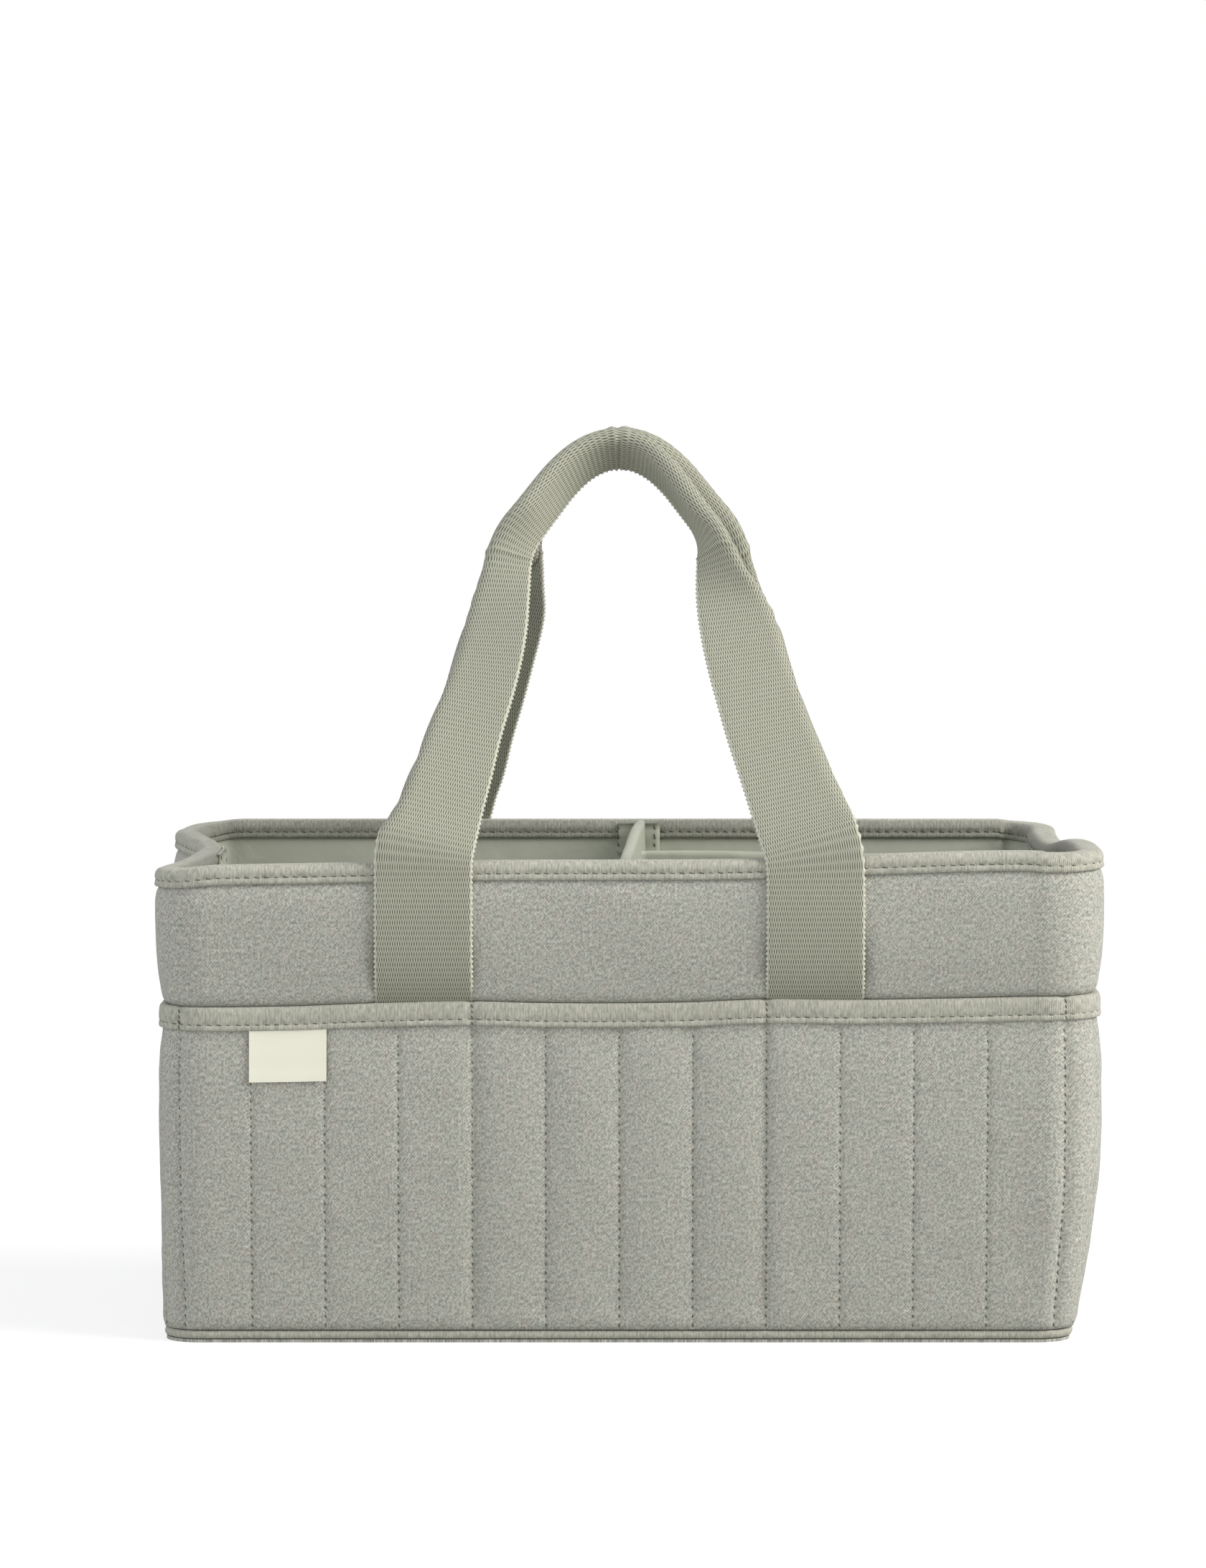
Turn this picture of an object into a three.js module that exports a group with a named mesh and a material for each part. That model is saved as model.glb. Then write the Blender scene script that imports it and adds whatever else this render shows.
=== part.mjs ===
// Padded fabric caddy for nappy changing things: a soft, board-stiffened box with a quilted pocket
// band around its lower part, two folded webbing handles and a lift-out divider set.
// Millimetres, +Z up, front towards -Y, origin at the middle of the underside.

import * as THREE from "three";
import { toCreasedNormals } from "three/addons/utils/BufferGeometryUtils.js";

// Overall sizes

const baseWidth = 360; // side to side at the base seam
const baseDepth = 205; // front to back at the base seam
const cornerRadius = 16; // of the outline at the base seam
const rimHeight = 192.5; // top of the bound rim
const seamGap = 0.3; // between pieces that are sewn or laid against each other
const cornerSteps = 5; // facets in each rounded corner

// Base

const baseThickness = 1.2;
const baseInset = 2; // of the base cloth inside the base seam
const pipingHeight = 3.5;
const pipingInset = 1.2;
const pipingWidth = 1.9;
const pipingSoftening = 0.7; // rounding of the piping's edges
const boardThickness = 2;

// Wall layers, as set back from the outline at the base seam

const coverSetBack = 10; // inner face of the padded cover, at its foot
const liningFootSetBack = 12.6; // outer face of the lining, at its foot
const liningTopSetBack = 1.2; // outer face of the lining, at its top
const liningThickness = 1;
const liningTopDrop = 1.9; // lining edge below the top of the rim
const coverTopDrop = 1.5; // cover edge below the top of the rim
const coverShoulder = 1.1; // rounding of the cover's top edge

// Pocket band

const bandTopDrop = 57.1; // of the band's top edge below the top of the rim
const bandSwell = 6.4; // how far the band's crowns swell past the base seam
const quiltDepth = 2.1; // channel seams below the crowns
const frontChannels = 12;
const frontWrap = 10.6; // of the front and back panels round each corner
const sideChannels = 6;
const sideWrap = 6.9; // of the sides' outer channels round each corner
const stepsPerChannel = 4;

// Height in the band, then its crown, its back face and the cover behind it as shares of bandSwell,
// then the depth of the channel seams as a share of quiltDepth
const bandShares = [
  [0, -0.09, -0.47, -0.53, 0.25],
  [0.068, 0.14, -0.42, -0.515, 0.85],
  [0.208, 0.42, -0.14, -0.31, 1],
  [0.426, 0.81, 0.25, -0.03, 1],
  [0.707, 1, 0.44, -0.03, 1],
  [0.847, 0.95, 0.39, -0.125, 0.8],
  [0.925, 0.734, 0.328, -0.22, 0],
  [1, 0.734, 0.328, -0.22, 0],
];
const channelCrownShares = [0, 0.78, 1, 0.78]; // of the seam depth, across one channel

// Bindings

const rimBindingHeight = 7.6;
const pocketBindingHeight = 9.4;
const bindingThickness = 1;
const innerLegThickness = 0.7; // inner leg of the pocket binding
const pocketBindingOut = 5.8;
const pocketBindingSoftening = 0.8;
const rimBindingOut = 8;
const rimShoulderWidth = 2.2;
const rimShoulderDrop = 4.5;

// Upper wall: height between the two bindings, then the swell as a share of wallSwell
const wallSwell = 8.4;
const wallShares = [
  [0.031, -0.167],
  [0.084, 0.27],
  [0.134, 0.63],
  [0.26, 0.8],
  [0.43, 0.94],
  [0.63, 0.99],
  [0.8, 1],
  [0.94, 0.98],
];

// Label

const labelWidth = 30.6;
const labelHeight = 20.3;
const labelThickness = 0.5;
const labelChannel = 1; // that the label hangs over, counted from 0 at the left end of the front

// Handles

const webbingWidth = 38.6;
const webbingThickness = 1.8;
const tailDepth = 15.6; // of each strap end inside its pocket
const tailSpacing = 155.6; // between the strap centres where they leave the pockets
const legSpacing = 150; // between the strap centres at the rim
const handleBreakDrop = 4.2; // of the line where the handle hinges below the top of the rim
const handleBreakGap = 0.6;
const handleRise = 167; // of the grip's fold line above the top of the rim
const gripGap = 0.8; // between the two grips where they meet
const gripTurn = 200; // degrees that the webbing is folded through in the grip
const foldZone = 12; // width of webbing that takes up the fold
const innerTurnShare = 0.05; // of the fold, taken by the half that faces out
const handleLean = 33; // degrees that each loop leans in
const handleSteps = 36;

// Half of a handle's fold line, from the hinge to the top of the grip: distance from the middle,
// rise, run towards the other handle, share of the fold and share of the lean
const routeShares = [
  [1, 0, 0, 0, 0],
  [0.994, 0.026, 0.002, 0.02, 0.05],
  [0.964, 0.114, 0.09, 0.2, 0.8],
  [0.887, 0.266, 0.246, 0.27, 1],
  [0.807, 0.383, 0.366, 0.3, 1],
  [0.765, 0.465, 0.45, 0.32, 1],
  [0.741, 0.558, 0.546, 0.36, 1],
  [0.728, 0.617, 0.606, 0.42, 1],
  [0.707, 0.669, 0.659, 0.75, 1],
  [0.667, 0.71, 0.702, 1, 0.95],
  [0.604, 0.778, 0.772, 1, 0.9],
  [0.469, 0.862, 0.859, 1, 0.8],
  [0.317, 0.93, 0.928, 1, 0.65],
  [0.163, 0.977, 0.976, 1, 0.55],
  [0, 1, 1, 1, 0.5],
];
// Places across the webbing, as shares of half its width
const acrossShares = [-1, -0.65, -0.31, -0.2, -0.1, 0, 0.1, 0.2, 0.31, 0.65, 1];

// Divider set

const dividerThickness = 5;
const dividerSkin = 1;
const dividerSoftening = 0.8;
const dividerTopDrop = 5; // divider edge below the top of the rim
const crossDividerPlace = 5; // across the caddy
const longDividerStart = 1.7; // of the long divider's edge from the cross divider
const stripThickness = 1;
const stripWidth = 25;
const stripFoot = 3.2; // above the floor lining
const stripTopDrop = 12.5; // below the top of the rim
const tabWidth = 24;
const endTabWidth = 15;
const tabInset = 1; // of a tab inside the ends of its tape
const swingGap = 0.7; // between the long divider's tab and its tape

// Facets that meet at less than these angles are shaded as one smooth surface
const clothCrease = 40;
const webbingCrease = 50;
const quiltCrease = 55;

// Derived places

const flatX = baseWidth / 2 - cornerRadius;
const flatY = baseDepth / 2 - cornerRadius;
const pipingFoot = baseThickness + seamGap;
const bandFoot = pipingFoot + pipingHeight + seamGap;
const bandTop = rimHeight - bandTopDrop;
const bandHeight = bandTop - bandFoot;
const bandBindingTop = bandTop + seamGap + innerLegThickness;
const bandBindingFoot = bandBindingTop - pocketBindingHeight;
const rimBindingFoot = rimHeight - rimBindingHeight;
const coverTop = rimHeight - coverTopDrop;
const rimBindingSeat = coverTop + seamGap; // underside of the binding's top
const coverTopOut = rimBindingOut - bindingThickness - seamGap;
const baseBoardTop = pipingFoot + boardThickness;
const liningFoot = baseBoardTop + seamGap;
const floorTop = liningFoot + liningThickness;
const liningTop = rimHeight - liningTopDrop;
const dividerFoot = floorTop + seamGap;
const dividerTop = rimHeight - dividerTopDrop;
const handleBreak = rimHeight - handleBreakDrop;
const handleTop = rimHeight + handleRise;

// Materials

function material(name, color, roughness) {
  const made = new THREE.MeshStandardMaterial({ color, roughness, metalness: 0 });
  made.name = name;
  return made;
}

const heather = material("heather", "#a6a499", 0.95);
const bindingCloth = material("binding", "#a3a296", 0.9);
const webbing = material("webbing", "#adac98", 0.85);
const liningCloth = material("lining", "#8d907f", 0.85);
const dividerCloth = material("divider", "#a3a593", 0.85);
const loopTape = material("loop_tape", "#5f6253", 0.95);
const labelCloth = material("label", "#eae9d7", 0.8);
const board = material("board", "#c9c6ba", 0.7);

// Shapes

// A closed solid through loops of points. Every loop has the same even count of points, and runs
// out along one face and back along the other, so each end is closed by a strip between the two.
function loft(loops, closed = false, crease = clothCrease) {
  const count = loops[0].length;
  const triangles = [];
  const bands = closed ? loops.length : loops.length - 1;
  for (let band = 0; band < bands; band++) {
    const low = band * count;
    const high = ((band + 1) % loops.length) * count;
    for (let i = 0; i < count; i++) {
      const j = (i + 1) % count;
      triangles.push(low + i, low + j, high + j, low + i, high + j, high + i);
    }
  }
  if (!closed) {
    const last = (loops.length - 1) * count;
    for (let i = 0; i < count / 2 - 1; i++) {
      const j = count - 1 - i;
      triangles.push(i + 1, i, j, i + 1, j, j - 1);
      triangles.push(last + i, last + i + 1, last + j - 1, last + i, last + j - 1, last + j);
    }
  }
  const points = loops.flat();
  if (signedVolume(points, triangles) < 0) triangles.reverse();
  const geometry = new THREE.BufferGeometry().setFromPoints(points);
  geometry.setIndex(triangles);
  return toCreasedNormals(geometry, THREE.MathUtils.degToRad(crease));
}

function signedVolume(points, triangles) {
  let volume = 0;
  for (let i = 0; i < triangles.length; i += 3) {
    const [a, b, c] = [0, 1, 2].map((corner) => points[triangles[i + corner]]);
    volume += a.dot(new THREE.Vector3().crossVectors(b, c));
  }
  return volume;
}

// A place on the outline: the centre that its normal starts from, and the normal
function point(place, offset, height) {
  const reach = cornerRadius + offset;
  const { centre, normal } = place;
  return new THREE.Vector3(centre.x + normal.x * reach, centre.y + normal.y * reach, height);
}

const outline = [0, 1, 2, 3].flatMap((quarter) => {
  const middle = (quarter + 0.5) * (Math.PI / 2);
  const centre = new THREE.Vector2(
    Math.sign(Math.cos(middle)) * flatX,
    Math.sign(Math.sin(middle)) * flatY,
  );
  return Array.from({ length: cornerSteps + 1 }, (_, step) => {
    const angle = (quarter + step / cornerSteps) * (Math.PI / 2);
    return { centre, normal: new THREE.Vector2(Math.cos(angle), Math.sin(angle)) };
  });
});

const ring = (offset, height) => outline.map((place) => point(place, offset, height));
const ringSolid = (section) => loft(section.map(([offset, height]) => ring(offset, height)), true);
const tubSolid = (section) => loft(section.map(([offset, height]) => ring(offset, height)));

// One side of the box, and a place along it: past the flat part the place runs on round the corner
const sides = {
  front: { normal: new THREE.Vector2(0, -1), flat: flatX, reach: flatY },
  back: { normal: new THREE.Vector2(0, 1), flat: flatX, reach: flatY },
  left: { normal: new THREE.Vector2(-1, 0), flat: flatY, reach: flatX },
  right: { normal: new THREE.Vector2(1, 0), flat: flatY, reach: flatX },
};

function sidePlace(side, along) {
  const across = new THREE.Vector2(-side.normal.y, side.normal.x);
  const flat = THREE.MathUtils.clamp(along, -side.flat, side.flat);
  const turn = (along - flat) / (cornerRadius + bandSwell / 2);
  const centre = across.clone().multiplyScalar(flat).addScaledVector(side.normal, side.reach);
  const normal = side.normal.clone().rotateAround(new THREE.Vector2(), turn);
  return { centre, normal };
}

// Offsets of the flat-faced layers, which lean out evenly with height

const leanPerHeight = (liningFootSetBack - liningTopSetBack) / (liningTop - liningFoot);
const liningOut = (height) => (height - liningFoot) * leanPerHeight - liningFootSetBack;
const liningIn = (height) => liningOut(height) - liningThickness;
const boardIn = (height) => liningOut(height) + seamGap;
const coverIn = (height) => (height - liningFoot) * leanPerHeight - coverSetBack;

// A flat strip against a wall, between two heights, from one offset to another
function wallStrip(side, centre, width, foot, top, outer, thickness) {
  const loops = [foot, top].map((height) => {
    const ends = [centre - width / 2, centre + width / 2].map((along) => sidePlace(side, along));
    const faces = [outer(height), outer(height) - thickness];
    return [
      point(ends[0], faces[0], height),
      point(ends[1], faces[0], height),
      point(ends[1], faces[1], height),
      point(ends[0], faces[1], height),
    ];
  });
  return loft(loops);
}

// Root pieces

function baseCover() {
  return tubSolid([
    [-baseInset, 0],
    [-baseInset, baseThickness],
  ]);
}

function baseBoard() {
  const edge = coverIn(pipingFoot) - seamGap;
  return tubSolid([
    [edge, pipingFoot],
    [edge, baseBoardTop],
  ]);
}

function piping() {
  const [out, back] = [-pipingInset, -pipingInset - pipingWidth];
  const [foot, top] = [pipingFoot, pipingFoot + pipingHeight];
  return ringSolid([
    [out - pipingSoftening, foot],
    [out, foot + pipingSoftening],
    [out, top - pipingSoftening],
    [out - pipingSoftening, top],
    [back, top],
    [back, foot],
  ]);
}

const coverFoot = [bandShares[0][3] * bandSwell, pipingFoot];
const coverLower = bandShares.map((row) => [row[3] * bandSwell, bandFoot + row[0] * bandHeight]);
const upperHeight = rimBindingFoot - bandBindingTop;
const coverUpper = wallShares.map(([rise, swell]) => [
  swell * wallSwell,
  bandBindingTop + rise * upperHeight,
]);

function outerCover() {
  return ringSolid([
    coverFoot,
    ...coverLower,
    ...coverUpper,
    [coverTopOut, rimBindingFoot],
    [coverTopOut, coverTop - rimShoulderDrop],
    [coverTopOut - coverShoulder, coverTop],
    [coverIn(coverTop), coverTop],
    [coverIn(pipingFoot), pipingFoot],
  ]);
}

function wallBoard(side) {
  const foot = liningFoot;
  const top = rimBindingFoot;
  const outer = (height) => boardIn(height) + boardThickness;
  return wallStrip(side, 0, side.flat * 2, foot, top, outer, boardThickness);
}

function lining() {
  return tubSolid([
    [liningOut(liningFoot), liningFoot],
    [liningOut(liningTop), liningTop],
    [liningIn(liningTop), liningTop],
    [liningIn(floorTop), floorTop],
  ]);
}

function rimBinding() {
  const inner = (height) => liningIn(height) - seamGap;
  const shoulder = rimHeight - rimShoulderDrop;
  return ringSolid([
    [rimBindingOut, rimBindingFoot],
    [rimBindingOut, shoulder],
    [rimBindingOut - bindingThickness, rimHeight - bindingThickness],
    [rimBindingOut - rimShoulderWidth, rimHeight],
    [inner(rimHeight), rimHeight],
    [inner(rimHeight) - bindingThickness, rimHeight - bindingThickness],
    [inner(rimBindingFoot) - bindingThickness, rimBindingFoot],
    [inner(rimBindingFoot), rimBindingFoot],
    [inner(rimBindingSeat), rimBindingSeat],
    [coverTopOut - coverShoulder + seamGap, rimBindingSeat],
    [coverTopOut + seamGap, shoulder - seamGap],
    [coverTopOut + seamGap, rimBindingFoot],
  ]);
}

// A quilted panel of the pocket band: channels between the given seams, crowned across and
// swelling with height
function pocketPanel(side, seams) {
  const columns = [];
  for (let channel = 0; channel < seams.length - 1; channel++) {
    const width = seams[channel + 1] - seams[channel];
    channelCrownShares.forEach((crown, step) => {
      columns.push([seams[channel] + (width * step) / stepsPerChannel, crown]);
    });
  }
  columns.push([seams.at(-1), 0]);
  const loops = bandShares.map(([rise, crownShare, backShare, , seamShare]) => {
    const height = bandFoot + rise * bandHeight;
    const front = columns.map(([along, crown]) => {
      const sink = (1 - crown) * seamShare * quiltDepth;
      return point(sidePlace(side, along), crownShare * bandSwell - sink, height);
    });
    const back = columns.map(([along]) => point(sidePlace(side, along), backShare * bandSwell, height));
    return [...front, ...back.reverse()];
  });
  return loft(loops, false, quiltCrease);
}

// Evenly spaced seams over a reach each way from the middle of a side
function seamPlaces(reach, channels) {
  return Array.from({ length: channels + 1 }, (_, i) => (2 * i / channels - 1) * reach);
}

const cornerArc = (Math.PI / 2) * (cornerRadius + bandSwell / 2);
const sideReach = flatY + cornerArc - frontWrap - seamGap;
const frontSeams = seamPlaces(flatX + frontWrap, frontChannels);
const sideSeams = [-sideReach, ...seamPlaces(flatY + sideWrap, sideChannels), sideReach];

function pocketBinding() {
  const out = pocketBindingOut;
  const bandBack = bandShares.at(-1)[2] * bandSwell - seamGap;
  const bandOut = bandShares.at(-1)[1] * bandSwell + seamGap;
  const seat = bandTop + seamGap;
  return ringSolid([
    [out, bandBindingFoot],
    [out, bandBindingTop - pocketBindingSoftening],
    [out - pocketBindingSoftening, bandBindingTop],
    [bandBack, bandBindingTop],
    [bandBack - innerLegThickness, bandBindingTop - pocketBindingSoftening],
    [bandBack - innerLegThickness, bandBindingFoot],
    [bandBack, bandBindingFoot],
    [bandBack, seat],
    [bandOut, seat],
    [bandOut, bandBindingFoot],
  ]);
}

// The label hangs from the pocket binding over the crown of one channel
function label() {
  const top = bandBindingFoot - seamGap;
  const foot = top - labelHeight;
  const crown = bandShares.map((row) => [bandFoot + row[0] * bandHeight, row[1] * bandSwell]);
  const crownAt = (height) => {
    const above = crown.findIndex((row) => row[0] >= height);
    const [low, high] = [crown[above - 1], crown[above]];
    return low[1] + ((height - low[0]) / (high[0] - low[0])) * (high[1] - low[1]);
  };
  const bends = crown.map((row) => row[0]).filter((height) => height > foot && height < top);
  const heights = [foot, ...bends, top];
  const centre = (frontSeams[labelChannel] + frontSeams[labelChannel + 1]) / 2;
  const ends = [centre - labelWidth / 2, centre + labelWidth / 2];
  const places = ends.map((along) => sidePlace(sides.front, along));
  const loops = heights.map((height) => {
    const back = crownAt(height) + seamGap;
    const front = back + labelThickness;
    return [
      point(places[0], front, height),
      point(places[1], front, height),
      point(places[1], back, height),
      point(places[0], back, height),
    ];
  });
  return loft(loops);
}

// Handles

// The polyline that runs beside another at a set distance, on the side away from the wall
function beside(line, distance) {
  return line.map((here, i) => {
    const before = line[Math.max(i - 1, 0)];
    const after = line[Math.min(i + 1, line.length - 1)];
    const into = here.clone().sub(before).normalize();
    const on = after.clone().sub(here).normalize();
    const along = into.add(on).normalize();
    const end = i === 0 ? on : here.clone().sub(before).normalize();
    const cosine = Math.max(Math.abs(along.dot(end)), 0.5);
    const normal = new THREE.Vector2(along.y, -along.x);
    return here.clone().addScaledVector(normal, distance / cosine);
  });
}

const tailFoot = bandBindingTop - tailDepth;

// What the strap lies on, from inside the pocket to the hinge line, as offset and height
function strapSeat() {
  const inPocket = coverLower.filter(([, height]) => height > tailFoot);
  const corners = [
    [inPocket[0][0], tailFoot],
    ...inPocket,
    ...coverUpper,
    [rimBindingOut, rimBindingFoot],
    [rimBindingOut, handleBreak - handleBreakGap / 2],
  ];
  return corners.map(([offset, height]) => new THREE.Vector2(offset, height));
}

function strapTail(side, along) {
  const back = beside(strapSeat(), seamGap);
  const front = beside(strapSeat(), seamGap + webbingThickness);
  const drift = (tailSpacing - legSpacing) / 2;
  const rise = rimHeight - tailFoot;
  const loops = back.map((inner, i) => {
    const outer = front[i];
    const centre = along - (Math.sign(along) * drift * (inner.y - tailFoot)) / rise;
    const edges = [centre - webbingWidth / 2, centre + webbingWidth / 2];
    const places = edges.map((edge) => sidePlace(side, edge));
    return [
      point(places[0], outer.x, outer.y),
      point(places[1], outer.x, outer.y),
      point(places[1], inner.x, inner.y),
      point(places[0], inner.x, inner.y),
    ];
  });
  return loft(loops);
}

// One handle above its hinge line, made as the front one; facing is -1 for the front, 1 for the back
function handle(facing) {
  const strapCentre = rimBindingOut + seamGap + webbingThickness / 2;
  const foldHalf = foldZone / THREE.MathUtils.degToRad(gripTurn);
  const rimReach = baseDepth / 2 + strapCentre;
  const gripReach = foldHalf + webbingThickness / 2 + gripGap / 2;
  const foot = handleBreak + handleBreakGap / 2;
  const stations = routeShares.map(([spread, rise, run, fold, lean]) => ({
    place: new THREE.Vector3(
      (-spread * legSpacing) / 2,
      -rimReach + run * (rimReach - gripReach),
      foot + rise * (handleTop - foot),
    ),
    fold,
    lean,
  }));
  const mirrored = stations
    .slice(0, -1)
    .reverse()
    .map(({ place, fold, lean }) => ({
      place: new THREE.Vector3(-place.x, place.y, place.z),
      fold,
      lean,
    }));
  const all = [...stations, ...mirrored];
  const route = new THREE.CatmullRomCurve3(all.map((station) => station.place), false, "centripetal");
  const reading = (key, t) => {
    const at = Math.min(t * (all.length - 1), all.length - 1 - 1e-9);
    const low = Math.floor(at);
    return THREE.MathUtils.lerp(all[low][key], all[low + 1][key], at - low);
  };
  const loops = [];
  for (let step = 0; step <= handleSteps; step++) {
    const t = step / handleSteps;
    const atEnd = step === 0 || step === handleSteps;
    const tangent = atEnd ? new THREE.Vector3(0, 0, t < 0.5 ? 1 : -1) : route.getTangent(t);
    const lean = THREE.MathUtils.degToRad(handleLean * reading("lean", t));
    const behind = new THREE.Vector3(0, Math.cos(lean), -Math.sin(lean));
    const inward = new THREE.Vector3().crossVectors(behind, tangent).normalize();
    const backward = new THREE.Vector3().crossVectors(tangent, inward).normalize();
    const turn = THREE.MathUtils.degToRad(gripTurn * reading("fold", t));
    const section = foldedSection(turn).map(({ x, y }) =>
      route.getPoint(t).addScaledVector(inward, x).addScaledVector(backward, y),
    );
    loops.push(section.map(({ x, y, z }) => new THREE.Vector3(x, -facing * y, z)));
  }
  return loft(loops, false, webbingCrease);
}

// The webbing's section, folded about its middle through the given turn: the inner half stays
// nearly in the plane of the loop and the outer half folds behind it
function foldedSection(turn) {
  const half = webbingWidth / 2;
  const zone = foldZone / 2;
  const angleAt = (across) => {
    const share = (zone - THREE.MathUtils.clamp(across, -zone, zone)) / foldZone;
    return turn * (innerTurnShare - share);
  };
  const march = (sign) => {
    const shares = acrossShares.filter((share) => share * sign > 0);
    shares.sort((a, b) => (a - b) * sign);
    let here = new THREE.Vector2();
    let at = 0;
    return shares.map((share) => {
      const next = share * half;
      const bend = angleAt((at + next) / 2);
      const step = new THREE.Vector2(Math.cos(bend), Math.sin(bend)).multiplyScalar(next - at);
      here = here.clone().add(step);
      at = next;
      return { here, angle: angleAt(next) };
    });
  };
  const middle = { here: new THREE.Vector2(), angle: angleAt(0) };
  const line = [...march(-1).reverse(), middle, ...march(1)];
  const face = (side) =>
    line.map(({ here, angle }) => {
      const normal = new THREE.Vector2(-Math.sin(angle), Math.cos(angle));
      return here.clone().addScaledVector(normal, (side * webbingThickness) / 2);
    });
  return [...face(1), ...face(-1).reverse()];
}

// Divider set

const dividerGap = seamGap + stripThickness + seamGap + stripThickness + seamGap;
const stripFootHeight = floorTop + stripFoot;
const stripTopHeight = rimHeight - stripTopDrop;
const stripOut = (height) => liningIn(height) - seamGap;
const tabOut = (height) => stripOut(height) - stripThickness - seamGap;
const endTabOut = (height) => stripOut(height) - stripThickness - swingGap;

function wallTape(side, along) {
  return wallStrip(side, along, stripWidth, stripFootHeight, stripTopHeight, stripOut, stripThickness);
}

function dividerTab(side, along, width, outer) {
  const [foot, top] = [stripFootHeight + tabInset, stripTopHeight - tabInset];
  return wallStrip(side, along, width, foot, top, outer, stripThickness);
}

// A cloth sleeve folded over the top of a stiffener, as [across, height] out and back
function sleeveSection() {
  const half = dividerThickness / 2;
  const hollow = half - dividerSkin;
  const under = dividerTop - dividerSkin;
  const soft = dividerSoftening;
  return [
    [-half, dividerFoot],
    [-half, dividerTop - soft],
    [soft - half, dividerTop],
    [half - soft, dividerTop],
    [half, dividerTop - soft],
    [half, dividerFoot],
    [hollow, dividerFoot],
    [hollow, under - soft],
    [hollow - soft, under],
    [soft - hollow, under],
    [-hollow, under - soft],
    [-hollow, dividerFoot],
  ];
}

function stiffenerSection() {
  const half = dividerThickness / 2 - dividerSkin - seamGap;
  const top = dividerTop - dividerSkin - dividerSoftening;
  return [
    [-half, dividerFoot],
    [-half, top],
    [half, top],
    [half, dividerFoot],
  ];
}

function crossDivider(section) {
  const end = (height) => baseDepth / 2 + liningIn(height) - dividerGap;
  return loft(
    [-1, 1].map((facing) =>
      section.map(([across, height]) =>
        new THREE.Vector3(crossDividerPlace + across, facing * end(height), height),
      ),
    ),
  );
}

const longDividerFoot = crossDividerPlace + dividerThickness / 2 + longDividerStart;

function longDivider(section) {
  const shortfall = dividerGap + swingGap - seamGap;
  const end = (height) => baseWidth / 2 + liningIn(height) - shortfall;
  return loft([
    section.map(([across, height]) => new THREE.Vector3(longDividerFoot, across, height)),
    section.map(([across, height]) => new THREE.Vector3(end(height), across, height)),
  ]);
}

// Assembly

const caddy = new THREE.Group();

function add(name, geometry, cloth) {
  const mesh = new THREE.Mesh(geometry, cloth);
  mesh.name = name;
  caddy.add(mesh);
}

add("base_cover", baseCover(), heather);
add("base_board", baseBoard(), board);
add("base_piping", piping(), bindingCloth);
add("outer_cover", outerCover(), heather);
add("lining", lining(), liningCloth);
add("rim_binding", rimBinding(), bindingCloth);
add("pocket_binding", pocketBinding(), bindingCloth);
add("label", label(), labelCloth);

for (const [name, side] of Object.entries(sides)) {
  const lengthwise = name === "front" || name === "back";
  add(`${name}_board`, wallBoard(side), board);
  add(`${name}_pocket_panel`, pocketPanel(side, lengthwise ? frontSeams : sideSeams), heather);
}

// Places along a wall run with its own direction, which is reversed on the back
const crossPlaces = { front: crossDividerPlace, back: -crossDividerPlace };

for (const [name, place] of Object.entries(crossPlaces)) {
  const side = sides[name];
  add(`${name}_loop_tape`, wallTape(side, place), loopTape);
  add(`${name}_divider_tab`, dividerTab(side, place, tabWidth, tabOut), loopTape);
  add(`${name}_left_strap_tail`, strapTail(side, (-side.normal.y * -tailSpacing) / 2), webbing);
  add(`${name}_right_strap_tail`, strapTail(side, (-side.normal.y * tailSpacing) / 2), webbing);
}

add("left_loop_tape", wallTape(sides.left, 0), loopTape);
add("right_loop_tape", wallTape(sides.right, 0), loopTape);
add("front_handle", handle(-1), webbing);
add("back_handle", handle(1), webbing);
add("cross_divider_sleeve", crossDivider(sleeveSection()), dividerCloth);
add("cross_divider_stiffener", crossDivider(stiffenerSection()), board);
add("long_divider_sleeve", longDivider(sleeveSection()), dividerCloth);
add("long_divider_stiffener", longDivider(stiffenerSection()), board);
add("long_divider_tab", dividerTab(sides.right, 0, endTabWidth, endTabOut), loopTape);

export default caddy;
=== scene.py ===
# %% [markdown]
# # A padded fabric caddy, dressed in Blender
#
# A caddy for nappy changing things is a soft box. Boards are sewn between a padded cloth wall and a
# smooth lining, a quilted band of pockets goes round the outside, and two webbing straps make the
# handles. The CAD model already holds every piece at its size and place, so this file only gives
# each piece its cloth: its sag, its seams, its stitches and its weave.

import math

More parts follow.
